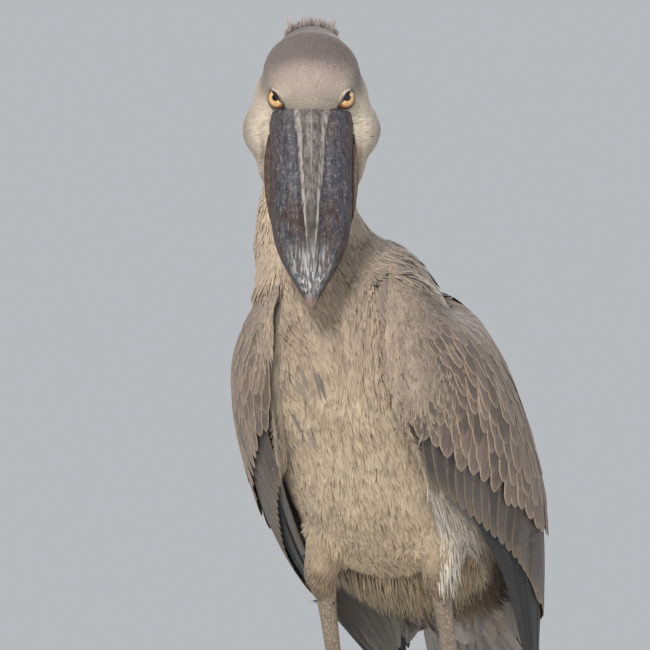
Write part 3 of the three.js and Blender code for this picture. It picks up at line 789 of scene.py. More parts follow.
@dataclass(frozen=True)
class BillFinish:
    """Horn of the bill: slate sides with streaks and red-brown blotches, pale lines and a pale nail."""

    name: str
    slate: tuple[float, float, float, float]
    pale: tuple[float, float, float, float]
    brown: tuple[float, float, float, float]
    lines: float = 1.0

    def build(self) -> bpy.types.Material:
        """Makes the material."""
        look, n, shader = new_material(self.name, 0.42, 0.0, 0.04)
        along, strip = n.attribute("along", "Fac"), n.attribute("strip", "Fac")
        flank = n.attribute("flank", "Fac")
        streaks = n.noise(330.0, (1, 1, 0.07), 4.0)
        specks = n.noise(560.0, (1, 1, 0.6), 3.0)
        grain = n.noise(260.0, (1, 1, 0.35), 5.0)
        blotch = n.noise(62.0, (1, 1, 0.55), 4.0)
        wide = n.noise(24.0, (1, 1, 0.4), 3.0)
        low_share = n.step(along, 0.3, 0.6, 0.3, 1.0)
        ground = n.mix(n.math("MULTIPLY", n.step(wide, 0.42, 0.62), low_share), self.slate, self.brown)
        light = n.math(
            "ADD", n.math("MULTIPLY", streaks, 0.5), n.math("MULTIPLY", n.step(grain, 0.3, 0.7), 0.8)
        )
        light = n.math("ADD", 0.32, light)
        ground = n.mix(1.0, ground, n.grey(light), "MULTIPLY")
        crumbs = n.math("MULTIPLY", n.step(specks, 0.54, 0.68), n.step(grain, 0.4, 0.65, 0.15, 0.5))
        ground = n.mix(crumbs, ground, self.pale)
        ground = n.mix(n.math("MULTIPLY", n.step(specks, 0.42, 0.34), 0.6), ground, srgb(34, 32, 36))
        red_zone = n.math("MULTIPLY", n.step(along, 0.42, 0.6), n.step(along, 0.86, 0.7))
        red = n.math(
            "MULTIPLY", n.math("MULTIPLY", n.step(blotch, 0.5, 0.62), red_zone),
            n.step(grain, 0.3, 0.6, 0.9, 0.4)
        )
        ground = n.mix(red, ground, srgb(62, 36, 32))
        middle = n.math("MULTIPLY", n.step(strip, 1.0, 0.8), self.lines)
        ribbed = n.math(
            "ADD", n.math("MULTIPLY", n.step(grain, 0.3, 0.7), 0.6), n.math("MULTIPLY", streaks, 0.5)
        )
        culmen = n.mix(
            n.math("MULTIPLY", crumbs, 0.6), n.mix(ribbed, srgb(12, 12, 16), srgb(132, 125, 122)), self.pale
        )
        culmen = n.mix(n.step(along, 0.5, 0.6, 0.0, 0.5), culmen, srgb(34, 31, 34))
        ground = n.mix(n.math("MULTIPLY", middle, 0.85), ground, culmen)
        wander = n.math("MULTIPLY", n.math("SUBTRACT", n.noise(60.0, (1, 1, 0.4)), 0.5), 0.4)
        near = n.math("ABSOLUTE", n.math("SUBTRACT", n.math("ADD", strip, wander), 1.0))
        line = n.math("MULTIPLY", n.step(near, 0.3, 0.08), n.step(grain, 0.35, 0.6, 0.3, 1.0))
        centre = n.math("MULTIPLY", n.step(strip, 0.1, 0.02), n.step(along, 0.42, 0.3, 0.0, 0.35))
        line = n.math("MULTIPLY", n.math("MAXIMUM", line, centre), self.lines)
        ground = n.mix(n.math("MULTIPLY", line, 0.95), ground, self.pale)
        fade = n.math("MULTIPLY", n.step(along, 0.66, 0.84), n.step(along, 0.99, 0.9, 0.25, 1.0))
        fade = n.math("MULTIPLY", fade, n.step(streaks, 0.44, 0.6, 0.12, 1.0))
        ground = n.mix(
            n.math("MULTIPLY", fade, n.step(flank, 0.95, 0.5, 0.0, 0.95)), ground, srgb(202, 204, 208)
        )
        ground = n.mix(n.step(along, 0.93, 0.965), ground, srgb(168, 146, 134))
        # Painted shade: the bill is darker brown along both cutting edges, where the edge turns under.
        ground = n.mix(n.math("MULTIPLY", n.step(flank, 0.8, 0.97), 0.5), ground, self.brown)
        n.tree.links.new(ground, shader.inputs["Base Color"])
        n.tree.links.new(n.math("ADD", 0.36, n.math("MULTIPLY", streaks, 0.3)), shader.inputs["Roughness"])
        relief = n.math("ADD", n.math("MULTIPLY", streaks, 1.0), n.math("MULTIPLY", blotch, 0.5))
        bump = n.add("Bump", {"Height": relief, "Strength": 0.5, "Distance": 0.0012})
        n.tree.links.new(bump.outputs[0], shader.inputs["Normal"])
        return look


@dataclass(frozen=True)
class LegFinish:
    """Scaly skin of the legs and toes."""

    name: str
    colour: tuple[float, float, float, float]
    cell: tuple[float, float, float, float]

    def build(self) -> bpy.types.Material:
        """Makes the material."""
        look, n, shader = new_material(self.name, 0.62)
        here = n.add("TexCoord").outputs["Object"]
        at = n.add("Mapping", {"Vector": here, "Scale": (1.0, 1.0, 0.72)}).outputs[0]
        cells = n.add("TexVoronoi", {"Vector": at, "Scale": 330.0}, feature="DISTANCE_TO_EDGE").outputs[
            "Distance"
        ]
        tint = n.add("TexVoronoi", {"Vector": at, "Scale": 330.0}).outputs["Color"]
        seam = n.step(cells, 0.02, 0.12, 1.0, 0.0)
        level = n.add("SeparateColor", {0: tint}).outputs[0]
        light = n.math(
            "ADD", 0.72,
            n.math("ADD", n.math("MULTIPLY", level, 0.36), n.math("MULTIPLY", n.noise(45.0), 0.35))
        )
        body = n.mix(1.0, self.colour, n.grey(light), "MULTIPLY")
        n.tree.links.new(n.mix(n.math("MULTIPLY", seam, 0.45), body, self.cell), shader.inputs["Base Color"])
        n.tree.links.new(n.math("ADD", 0.5, n.math("MULTIPLY", seam, 0.3)), shader.inputs["Roughness"])
        height = n.step(cells, 0.0, 0.2)
        bump = n.add("Bump", {"Height": height, "Strength": 0.6, "Distance": 0.0008})
        n.tree.links.new(bump.outputs[0], shader.inputs["Normal"])
        return look


@dataclass(frozen=True)
class HornFinish:
    """Smooth dark horn of the claws."""

    name: str
    colour: tuple[float, float, float, float]

    def build(self) -> bpy.types.Material:
        """Makes the material."""
        look, n, shader = new_material(self.name, 0.4, 0.0, 0.2)
        streaks = n.noise(240.0, (1, 0.3, 1), 3.0)
        n.tree.links.new(
            n.mix(n.step(streaks, 0.4, 0.7), self.colour, srgb(92, 84, 76)), shader.inputs["Base Color"]
        )
        n.tree.links.new(n.math("ADD", 0.28, n.math("MULTIPLY", streaks, 0.25)), shader.inputs["Roughness"])
        return look


@dataclass(frozen=True)
class EyeFinish:
    """Eyeball: a black pupil in a gold iris with fine rays, a brown outer ring, and a wet clear coat."""

    name: str = "eye"

    def build(self) -> bpy.types.Material:
        """Makes the material."""
        look, n, shader = new_material(self.name, 0.2, 0.0, 0.4)
        shader.inputs["Coat Roughness"].default_value = 0.02
        shader.inputs["Specular IOR Level"].default_value = 0.25
        out = n.attribute("iris", "Fac")
        turn = n.attribute("ray", "Fac")
        spokes = {0: n.math("MULTIPLY", turn, 16.0), 1: n.math("MULTIPLY", out, 1.2)}
        at = n.add("CombineXYZ", spokes).outputs[0]
        rays = n.add("TexNoise", {"Vector": at, "Scale": 2.2, "Detail": 4.0}).outputs["Fac"]
        gold = n.mix(n.step(rays, 0.35, 0.65), srgb(208, 152, 90), srgb(244, 212, 158))
        gold = n.mix(n.step(out, 0.7, 0.97), gold, srgb(156, 92, 46))
        ringed = n.mix(n.step(out, 0.95, 1.02), gold, srgb(30, 20, 17))
        seen = n.mix(n.step(out, 0.35, 0.39), srgb(4, 3, 3), ringed)
        n.tree.links.new(seen, shader.inputs["Base Color"])
        n.tree.links.new(n.step(out, 1.0, 1.2, 0.08, 0.35), shader.inputs["Roughness"])
        return look


@dataclass(frozen=True)
class LidFinish:
    """Bare skin round the eye: a dark wet rim, widened under the brow as painted shade, a whitish lower lid
    and dark lores.
    """

    name: str = "lids"

    def build(self) -> bpy.types.Material:
        """Makes the material."""
        look, n, shader = new_material(self.name, 0.5, 0.1)
        rim, white, dark = n.attribute("rim", "Fac"), n.attribute("white", "Fac"), n.attribute("dark", "Fac")
        skin = n.mix(n.step(white, 0.3, 0.7), n.attribute("plume", "Color"), srgb(214, 200, 180))
        folds = n.noise(700.0, (1, 1, 1), 3.0)
        light = n.math("ADD", 0.7, n.math("MULTIPLY", folds, 0.4))
        skin = n.mix(1.0, skin, n.grey(light), "MULTIPLY")
        skin = n.mix(n.math("MULTIPLY", dark, 0.85), skin, srgb(58, 48, 44))
        n.tree.links.new(n.mix(n.step(rim, 0.4, 0.8), skin, srgb(34, 22, 18)), shader.inputs["Base Color"])
        n.tree.links.new(n.step(rim, 0.4, 1.0, 0.6, 0.3), shader.inputs["Roughness"])
        bump = n.add("Bump", {"Height": folds, "Strength": 0.3, "Distance": 0.0004})
        n.tree.links.new(bump.outputs[0], shader.inputs["Normal"])
        return look


# Plumage: where it grows, how it lies and its colours


@dataclass(frozen=True)
class Mark:
    """A plumage colour centred on a place, fading over its reach."""

    at: tuple[float, ...]
    reach: tuple[float, ...]
    colour: tuple[float, float, float]


# On the body the place is the tube's row, how far to the breast, 1, or the back, -1, and how far to the left.
BODY_MARKS = (
    Mark((1.0, 1.0, 0.0), (1.5, 0.8, 3.0), (200, 182, 162)),
    Mark((3.5, 0.9, 0.0), (1.6, 0.7, 3.0), (203, 184, 160)),
    Mark((2.5, 0.1, 0.0), (2.0, 0.5, 3.0), (188, 171, 153)),
    # Rows 4.8 to 6.8 at side 1 are darker than at side -1: painted shade on the bird's left, the side away
    # from the lamp.
    Mark((4.8, 0.1, 1.0), (0.9, 0.5, 0.7), (136, 124, 116)),
    Mark((5.8, 0.4, 1.0), (0.8, 0.5, 0.6), (146, 132, 122)),
    Mark((6.8, 0.4, 1.0), (0.8, 0.5, 0.5), (158, 142, 130)),
    Mark((5.0, 0.2, -1.0), (0.9, 0.5, 0.7), (168, 150, 133)),
    Mark((6.4, 0.4, -1.0), (1.2, 0.5, 0.6), (170, 152, 136)),
    Mark((2.0, -1.0, 0.0), (2.6, 0.7, 3.0), (126, 114, 110)),
    Mark((5.5, 1.0, 0.0), (1.2, 0.5, 3.0), (152, 136, 121)),
    Mark((7.4, 0.9, 0.0), (1.2, 0.8, 3.0), (196, 178, 152)),
    Mark((8.6, 0.9, 0.0), (0.9, 0.8, 3.0), (189, 169, 142)),
    # Rows 9.7 and 11 darken the lower belly towards the vent: painted shade under the body.
    Mark((9.7, 0.9, 0.0), (0.8, 0.8, 3.0), (150, 133, 113)),
    Mark((11.0, 0.8, 0.0), (0.8, 1.0, 3.0), (112, 98, 82)),
    Mark((6.5, -1.0, 0.0), (2.0, 0.7, 3.0), (112, 104, 101)),
    Mark((9.5, -1.0, 0.0), (2.0, 0.9, 3.0), (100, 96, 96)),
    Mark((9.0, 0.1, 0.8), (1.3, 0.4, 1.0), (206, 197, 184)),
)
# On the head the place is across, along and crown; both sides are alike.
HEAD_MARKS = (
    Mark((0, -70, 0), (60, 42, 38), (109, 99, 98)),
    Mark((0, -10, 30), (44, 16, 30), (174, 158, 150)),
    Mark((33, -2, 12), (9, 9, 22), (198, 187, 168)),
    Mark((0, 12, 26), (34, 4, 30), (196, 183, 168)),
    Mark((50, 34, -28), (13, 50, 24), (222, 209, 190)),
    Mark((74, 26, -62), (28, 60, 36), (164, 152, 143)),
    Mark((30, -40, -70), (50, 40, 40), (128, 116, 110)),
    Mark((0, 70, -90), (50, 50, 40), (190, 172, 148)),
    # This dark mark along the cap's edge is partly the crown's darker edge and partly painted shade where the
    # cap lies over the paler cheek.
    Mark((54, -22, -8), (9, 16, 15), (112, 101, 99)),
    Mark((64, -22, -34), (9, 26, 16), (202, 190, 174)),
)


def blend_marks(marks: Sequence[Mark], places: Array) -> Array:
    """Mixes the marks' colours at places, each weighted by a bell of its distance over its reach.

    Args:
        marks: Marks in the places' own coordinates.
        places: Points by coordinates.

    Returns:
        Linear colours.
    """
    colours = np.array([srgb(*m.colour)[:3] for m in marks])
    at = np.array([m.at for m in marks], dtype=float)
    reach = np.array([m.reach for m in marks], dtype=float)
    far = (((places[:, None] - at) / reach) ** 2).sum(axis=2)
    weight = np.exp(-far + far.min(axis=1, keepdims=True))
    return (weight / weight.sum(axis=1, keepdims=True)) @ colours


@dataclass
class BodyTube:
    """The tube of neck and torso, for finding where a point lies along and around it."""

    rows: Array = field(default_factory=lambda: np.linspace(0, len(BODY_ROWS) - 1, 221))

    def __post_init__(self) -> None:
        """Works out the axis and its directions."""
        table = between(BODY_ROWS, self.rows)
        self.centre = place(table[:, 0], table[:, 1], table[:, 2])
        self.wide, self.deep = table[:, 3], table[:, 4]
        self.run, self.across, self.out = tube_frame(self.centre)

    def locate(self, points: Array) -> dict[str, Array]:
        """Finds the nearest row of each point.

        Args:
            points: Places in the forms' frame.

        Returns:
            Row, front (1 on the breast, -1 on the back), side, depth outside the tube, and the run there.
        """
        nearest = np.concatenate(
            [
                ((part[:, None] - self.centre) ** 2).sum(axis=2).argmin(axis=1)
                for part in np.array_split(points, max(1, len(points) // 4000))
            ]
        )
        apart = points - self.centre[nearest]
        front = (apart * self.out[nearest]).sum(axis=1) / self.deep[nearest]
        side = (apart * self.across[nearest]).sum(axis=1) / self.wide[nearest]
        ratio = np.hypot(front, side)
        depth = (ratio - 1) * np.minimum(self.wide, self.deep)[nearest]
        return {
            "row": self.rows[nearest], "front": front / np.maximum(ratio, 0.3),
            "side": side / np.maximum(ratio, 0.3),
            "depth": depth, "run": self.run[nearest],
        }


def limb_path(points: Sequence[Array], radii: Sequence[float], rows: int) -> tuple[Array, Array]:
    """A smooth path through joints with its radius at each place.

    Args:
        points: Joints in order.
        radii: A radius for each.
        rows: Places along the path.

    Returns:
        Path points and radii.
    """
    row = np.linspace(0, len(points) - 1, rows)
    return between(np.array(points), row), between(np.array(radii)[:, None], row)[:, 0]


def thigh_path(side: Side, rows: int = 40) -> tuple[Array, Array]:
    """The feathered thigh's path and radii."""
    shank_end = joint("shank", side)
    shank_end[2] = 452.0
    return limb_path([joint("hip", side), joint("knee", side), shank_end], [44, 26, 13], rows)


def wing_pads(side: Side) -> list[tuple[Array, Array]]:
    """The deep plumage that laps over a wing: rolls over its top, down its front edge and down its rear edge.

    Args:
        side: Which wing.

    Returns:
        Paths and radii.
    """
    row = np.linspace(0, 1, 24)
    inward = BODY_LEFT * -side.value
    reach, low = (0.9, -5.0) if side is Side.LEFT else (0.5, 3.0)
    lap, thick = (0.0, 25.0) if side is Side.LEFT else (0.1, 28.0)
    top = wing_place(side, 0.045 + 0.04 * np.sin(row * math.pi), reach * row, low + 0 * row)
    edge = (
        wing_place(side, 0.04 + 0.6 * row, lap * (1 - row), -16.0 - 6.0 * row)
        + inward * (11.0 - 4.0 * row)[:, None]
    )
    rear = wing_place(side, 0.08 + 0.56 * row, 1.0 + 0 * row, -16.0 + 0 * row) + inward * 6.0
    return [
        (top, 17.0 + 8.0 * np.sin((0.25 + 0.75 * row) * math.pi)),
        (edge, thick - (thick - 12.0) * row**1.5),
        (rear, 22.0 - 10.0 * row**1.5),
    ]


@dataclass
class Skin:
    """One skin over head, neck, torso and thighs, inside the plumage by its depth."""

    voxel: float = 0.0045
    head_inset: float = 2.5
    body_inset: float = 6.0

    def form(self) -> Sheet:
        """The forms that the skin wraps: the body tube, the head's masses and the thighs."""
        rows = np.linspace(0, len(BODY_ROWS) - 1, 90)
        table = between(BODY_ROWS, rows)
        body = capped_tube(tube(place(table[:, 0], table[:, 1], table[:, 2]), table[:, 3], table[:, 4], 64))
        lat = np.linspace(0.01, math.pi - 0.01, 90)[:, None]
        lon = np.linspace(0, 2 * math.pi, 120, endpoint=False)[None, :]
        ways = np.stack(
            np.broadcast_arrays(np.sin(lat) * np.cos(lon), np.cos(lat), np.sin(lat) * np.sin(lon)), axis=-1
        )
        local = head_surface(ways)
        head = capped_tube(head_place(local[..., 0], local[..., 1], local[..., 2]))
        legs = []
        for side in Side:
            path, radii = thigh_path(side)
            legs.append(capped_tube(tube(path, radii, radii, 32)))
            for path, radii in wing_pads(side):
                legs.append(capped_tube(tube(path, radii, radii, 32)))
        return join_all([body, head, *legs])

    @staticmethod
    def relaxed(points: Array, triangles: Array, share: Array, rounds: int) -> Array:
        """Moves each point by its share of the way to the mean of its neighbours, for some rounds."""
        start, end = np.concatenate([triangles[:, [0, 1]], triangles[:, [1, 2]], triangles[:, [2, 0]]]).T
        many = np.bincount(start, minlength=len(points))[:, None]
        for _ in range(rounds):
            mean = (
                np.stack([np.bincount(start, points[end, axis], len(points)) for axis in range(3)], axis=1)
                / many
            )
            points = points + (mean - points) * share[:, None]
        return points

    @staticmethod
    def normals_of(points: Array, triangles: Array) -> Array:
        """Normals at the points: the triangles' own around each, weighted by area."""
        a, b, c = points[triangles].transpose(1, 0, 2)
        facing = np.cross(b - a, c - a)
        corner = triangles.ravel()
        spread = np.repeat(facing, 3, axis=0)
        return unit(
            np.stack([np.bincount(corner, spread[:, axis], len(points)) for axis in range(3)], axis=1)
        )

    def build(self, tube_form: BodyTube) -> tuple[bpy.types.Object, dict[str, Array]]:
        """Wraps the forms in one skin and sinks it by the plumage's depth.

        Args:
            tube_form: The body tube, for the markings.

        Returns:
            The skin piece, and its points, normals and triangles in millimetres.
        """
        scratch = build_object("skin_form", self.form(), bpy.data.materials.new("scratch"), None)
        remesh = scratch.modifiers.new("wrap", "REMESH")
        remesh.mode = "VOXEL"
        remesh.voxel_size = self.voxel
        soften = scratch.modifiers.new("soften", "SMOOTH")
        soften.factor = 0.6
        soften.iterations = 12
        mesh = bpy.data.meshes.new_from_object(scratch.evaluated_get(bpy.context.evaluated_depsgraph_get()))
        bpy.data.objects.remove(scratch)
        count = len(mesh.vertices)
        points = np.empty(count * 3)
        mesh.vertices.foreach_get("co", points)
        points = points.reshape(-1, 3) / MILLIMETRE - SHIFT
        mesh.calc_loop_triangles()
        triangles = np.empty(len(mesh.loop_triangles) * 3, int)
        mesh.loop_triangles.foreach_get("vertices", triangles)
        triangles = triangles.reshape(-1, 3)
        volume = np.einsum(
            "ij,ij->i", points[triangles[:, 0]], np.cross(points[triangles[:, 1]], points[triangles[:, 2]])
        )
        if volume.sum() < 0:
            triangles = triangles[:, ::-1]
        owner = Plumage.owner_of(points, tube_form)
        soft = 0.6 * smooth(points[:, 2], 560.0, 640.0) * smooth(owner["row"], 4.2, 4.9) * ~owner["head"]
        hips = 0.6 * smooth(points[:, 2], 492.0, 530.0) * smooth(points[:, 2], 640.0, 560.0) * ~owner["head"]
        points = self.relaxed(points, triangles, soft, 80)
        points = self.relaxed(points, triangles, hips, 30)
        normals = self.normals_of(points, triangles)
        inset = np.where(owner["head"], self.head_inset, self.body_inset)
        eyes = np.array([head_place(s.value * EYE_SPREAD, 0, 0) for s in Side])
        near = np.linalg.norm(points[:, None] - eyes, axis=2).min(axis=1)
        inset = inset + 7.0 * smooth(near, 17.0, 9.0)
        at = owner["local"]
        by_bill = (
            (at[:, 1] > 24) & (at[:, 1] < 120) & (at[:, 2] > -64) & (at[:, 2] < 4) & (np.abs(at[:, 0]) < 57)
        )
        inset = inset + 3.5 * by_bill
        points = points - normals * inset[:, None]
        sheet = Sheet(points, triangles=triangles, colours={"plume": Plumage.colours(points, owner)})
        made = build_object("skin", sheet, SkinFinish().build(), "body_feathers")
        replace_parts(made, "torso", "neck", "head", "thigh_left", "thigh_right")
        return made, {"points": points, "normals": normals, "triangles": triangles}


@dataclass(frozen=True)
class Growth:
    """How a region's small feathers grow: number, millimetres, rise in degrees, disorder, rings and swirl."""

    count: int
    length: float
    width: float
    rise: float
    stray: float
    finish: TuftFinish
    rings: int = 2
    swirl: float = 0.0
    clump: float = 0.0


GROWTHS = {
    Region.CROWN: Growth(24000, 6.5, 1.4, 10.0, 0.1, TuftFinish("crown_down", 0.14, 0.1, 0.2, 0.3), 1),
    Region.CHEEKS: Growth(25000, 10.0, 1.5, 15.0, 0.1, TuftFinish("cheek_down", 0.18, 0.12, 0.2, 0.3), 1),
    Region.NECK: Growth(
        11500, 20.0, 2.6, 12.0, 0.08, TuftFinish("neck_plumes", 0.28, 0.14), swirl=0.06, clump=0.3
    ),
    Region.BREAST_LEFT: Growth(
        12000, 24.0, 2.9, 11.0, 0.12, TuftFinish("breast_down_left", 0.34, 0.14, 0.7), swirl=0.22, clump=0.5
    ),
    Region.BREAST_RIGHT: Growth(
        12000, 24.0, 2.9, 11.0, 0.12, TuftFinish("breast_down_right", 0.34, 0.14, 0.7), swirl=0.22, clump=0.5
    ),
    Region.BELLY: Growth(
        18000, 21.0, 2.9, 19.0, 0.24, TuftFinish("belly_fluff", 0.38, 0.2, 0.7), 1, 0.5, 0.6
    ),
    Region.BACK: Growth(9000, 24.0, 3.6, 9.0, 0.1, TuftFinish("back_plumes", 0.3, 0.15), 1),
    Region.THIGHS: Growth(
        11000, 17.0, 2.3, 15.0, 0.18, TuftFinish("thigh_plumes", 0.34, 0.16, 0.6), 1, 0.3, 0.4
    ),
}


class Plumage:
    """Small feathers over the skin, region by region."""

    def __init__(self, skin: dict[str, Array], tube_form: BodyTube, seed: int = 5) -> None:
        """Sorts the skin's triangles into regions.

        Args:
            skin: Points, normals and triangles of the skin.
            tube_form: The body tube.
            seed: Seed of every draw.
        """
        self.skin = skin
        self.tube_form = tube_form
        self.draw = np.random.default_rng(seed)
        corners = skin["points"][skin["triangles"]]
        self.middle = corners.mean(axis=1)
        self.area = (
            np.linalg.norm(np.cross(corners[:, 1] - corners[:, 0], corners[:, 2] - corners[:, 0]), axis=1) / 2
        )
        self.owner = self.owner_of(self.middle, tube_form)

    @staticmethod
    def owner_of(points: Array, tube_form: BodyTube) -> dict[str, Array]:
        """Says which form each skin point belongs to, with its coordinates on that form.

        Args:
            points: Places on the skin.
            tube_form: The body tube.

        Returns:
            Masks for head and thigh, body row, front, side and run, and the head's coordinates.
        """
        local = head_local(points)
        head = np.concatenate(
            [head_depth(part) for part in np.array_split(local, max(1, len(local) // 20000))]
        )
        body = tube_form.locate(points)
        thigh = np.full(len(points), 1e9)
        thigh_run = np.zeros_like(points)
        for side in Side:
            path, radii = thigh_path(side)
            run = tube_frame(path)[0]
            for part in np.array_split(np.arange(len(points)), max(1, len(points) // 20000)):
                far = np.linalg.norm(points[part][:, None] - path, axis=2)
                row = far.argmin(axis=1)
                depth = far[np.arange(len(part)), row] - radii[row]
                better = depth < thigh[part]
                thigh[part[better]] = depth[better]
                thigh_run[part[better]] = run[row[better]]
        is_head = ((head < body["depth"]) | (body["row"] < 0.5)) & (head < thigh)
        is_thigh = (thigh < body["depth"] - 1) & ~is_head
        return {"head": is_head, "thigh": is_thigh, "local": local, "thigh_run": thigh_run, **body}

    @staticmethod
    def colours(points: Array, owner: dict[str, Array]) -> Array:
        """The plumage's colour on the skin, from the marks of head and body, with painted shade under the
        body.

        Args:
            points: Places on the skin.
            owner: What owner_of says of them.

        Returns:
            Linear colours.
        """
        on_body = blend_marks(BODY_MARKS, np.stack([owner["row"], owner["front"], owner["side"]], axis=1))
        local = owner["local"]
        on_head = blend_marks(HEAD_MARKS, np.stack([np.abs(local[:, 0]), local[:, 1], local[:, 2]], axis=1))
        legs = np.array(srgb(138, 121, 102)[:3])
        share = smooth(head_depth(local), 12.0, -4.0)[:, None]
        colour = on_body * (1 - share) + on_head * share
        low = smooth(points[:, 2], 560.0, 490.0)[:, None] * owner["thigh"][:, None]
        colour = colour * (1 - 0.85 * low) + legs * 0.85 * low
        # Painted shade: the body's underside, away from the thighs, is darkened by up to six tenths, darker
        # towards the bottom.
        vent = smooth(points[:, 2], 500.0, 462.0)[:, None] * (~owner["thigh"][:, None])
        return colour * (1 - 0.6 * vent)

    def region_mask(self, region: Region) -> Array:
        """Which skin triangles a region covers."""
        o = self.owner
        along, crown = o["local"][:, 1], o["local"][:, 2]
        top = (along < 6) & (crown > -64)
        body = ~o["head"] & ~o["thigh"]
        ventral = o["front"] > -0.15
        breast = body & (o["row"] >= 4.6) & (o["row"] < 8.1) & ventral
        lids = np.array([[s.value * EYE_SPREAD, 0.0, 0.0] for s in Side])
        clear = np.linalg.norm(o["local"][:, None] - lids, axis=2).min(axis=1) > 15.5
        masks = {
            Region.CROWN: o["head"] & top & clear,
            Region.CHEEKS: o["head"] & ~top & clear,
            Region.NECK: body & (o["row"] < 4.6),
            Region.BREAST_LEFT: breast & (o["side"] > 0),
            Region.BREAST_RIGHT: breast & (o["side"] <= 0),
            Region.BELLY: body & (o["row"] >= 8.1) & ventral,
            Region.BACK: body & (o["row"] >= 4.6) & ~ventral,
            Region.THIGHS: o["thigh"],
        }
        return masks[region]

    def lies(
        self, owner: dict[str, Array], normals: Array, stray: float, turned: Array | float = 0.0
    ) -> Array:
        """The way that feathers lie: back from the face on the head, and down the tube or the leg elsewhere.

        Args:
            owner: What owner_of says of the roots.
            normals: Skin normals at the roots.
            stray: Disorder.
            turned: A step added to each direction, as swirled gives.

        Returns:
            Unit directions in the skin.
        """
        local = owner["local"]
        low = smooth(local[:, 1], 0.0, 40.0)
        side = np.clip(local[:, 0] / 50, -1, 1) * 0.4
        head = np.stack([side, -0.75 + 0.55 * low, -0.6 - 0.4 * low], axis=1) @ HEAD_AXES
        way = np.where(owner["head"][:, None], head, owner["run"])
        way = np.where(owner["thigh"][:, None], owner["thigh_run"] + np.array([0, 0, -0.4]), way)
        way = way + self.draw.normal(0, stray, way.shape) + turned
        return square_to(way, normals)

    @staticmethod
    def swirled(points: Array, amount: float) -> Array:
        """A smooth field of small turns: six sine waves of 25 to 60 mm along seeded directions, summed."""
        draw = np.random.default_rng(9)
        waves = unit(draw.normal(size=(6, 3))) * (2 * math.pi / draw.uniform(25, 60, 6))[:, None]
        turns = draw.normal(size=(6, 3)) * amount / 2.4
        return np.sin(points @ waves.T + draw.uniform(0, 6.3, 6)) @ turns

    @staticmethod
    def clumped(points: Array, normals: Array, lie: Array, length: float, pull: float) -> Array:
        """Draws neighbouring feathers together at their tips.

        Roots are sorted into wandering cells half a feather wide. Each direction gains the pull's share of
        the step from the feather's own tip to the mean tip of its cell, over the length.

        Args:
            points: Roots.
            normals: Skin normals.
            lie: Directions along the skin.
            length: Mean length.
            pull: Share of the step.

        Returns:
            Unit directions in the skin.
        """
        size = np.array([0.5, 0.5, 0.9]) * length
        cell = np.floor((points + Plumage.swirled(points, 0.5 * length)) / size).astype(int)
        _, owner, many = np.unique(cell, axis=0, return_inverse=True, return_counts=True)
        owner = owner.ravel()
        tip = points + lie * length
        mean = np.stack([np.bincount(owner, tip[:, axis]) for axis in range(3)], axis=1) / many[:, None]
        way = lie + (mean[owner] - tip) * pull / length
        return square_to(way, normals)

    def roots(self, mask: Array, count: int) -> tuple[Array, Array]:
        """Draws roots over part of the skin, evenly by area.

        Args:
            mask: Skin triangles to grow on, as weights or a mask.
            count: Number of roots.

        Returns:
            Root places and skin normals.
        """
        weight = self.area * mask
        total = np.cumsum(weight)
        spot = (np.arange(count) + self.draw.random(count)) / count * total[-1]
        chosen = np.minimum(np.searchsorted(total, spot), len(weight) - 1)
        a, b = self.draw.random((2, count))
        flip = a + b > 1
        a, b = np.where(flip, 1 - a, a), np.where(flip, 1 - b, b)
        share = np.stack([1 - a - b, a, b], axis=1)[..., None]
        corner = self.skin["triangles"][chosen]
        return (self.skin["points"][corner] * share).sum(axis=1), unit(
            (self.skin["normals"][corner] * share).sum(axis=1)
        )

    def unwrap(self, points: Array, owner: dict[str, Array]) -> Array:
        """Places of roots on an unwrap of the skin: angle and length of tube or thigh, or angles on the head.

        Args:
            points: Root places.
            owner: What owner_of says of them.

        Returns:
            Map places from 0 to 1: head in the top third, body in the middle, thighs at the foot.
        """
        turn = np.arctan2(owner["side"], owner["front"]) / (2 * math.pi) + 0.5
        body = np.stack([turn, 0.22 + 0.43 * owner["row"] / 11], axis=1)
        way = unit(owner["local"] - HEAD_MIDDLE)
        lon = np.arctan2(way[:, 0], way[:, 2]) / (2 * math.pi) + 0.5
        head = np.stack([lon, 0.67 + 0.32 * np.arccos(np.clip(way[:, 1], -1, 1)) / math.pi], axis=1)
        left = (points @ BODY_LEFT) > 0
        thigh = np.stack(
            [0.25 + 0.5 * left + 0.22 * owner["side"], 0.02 + 0.18 * smooth(points[:, 2], 430, 620)], axis=1
        )
        found = np.where(owner["head"][:, None], head, body)
        found = np.where(owner["thigh"][:, None], thigh, found)
        return np.clip(found, 0.003, 0.997)

    def grow(self, region: Region) -> bpy.types.Object:
        """Grows one region's small feathers as one piece, shorter on the face."""
        growth = GROWTHS[region]
        points, normals = self.roots(self.region_mask(region), growth.count)
        owner = self.owner_of(points, self.tube_form)
        lie = self.lies(owner, normals, growth.stray, self.swirled(points, growth.swirl))
        size = self.draw.uniform(0.75, 1.2, len(points))
        lie = self.clumped(points, normals, lie, growth.length, growth.clump)
        if region in (Region.CROWN, Region.CHEEKS):
            size = size * (
                0.5 + 0.5 * smooth(owner["local"][:, 1] + np.abs(owner["local"][:, 0]) * 0.4, 14.0, -14.0)
            )
            size = np.where(owner["local"][:, 1] > 20, np.maximum(size, 0.75), size)
        sheet = tufts(
            points, normals, lie, growth.length * size, growth.width * size**0.5,
            np.radians(growth.rise * self.draw.uniform(0.6, 1.5, len(points))), self.draw.random(len(points)),
            self.colours(points, owner), self.unwrap(points, owner), growth.rings,
        )
        slot = "head_feathers" if region in (Region.CROWN, Region.CHEEKS) else "body_feathers"
        return build_object(f"coat_{region.value}", sheet, growth.finish.build(), slot)


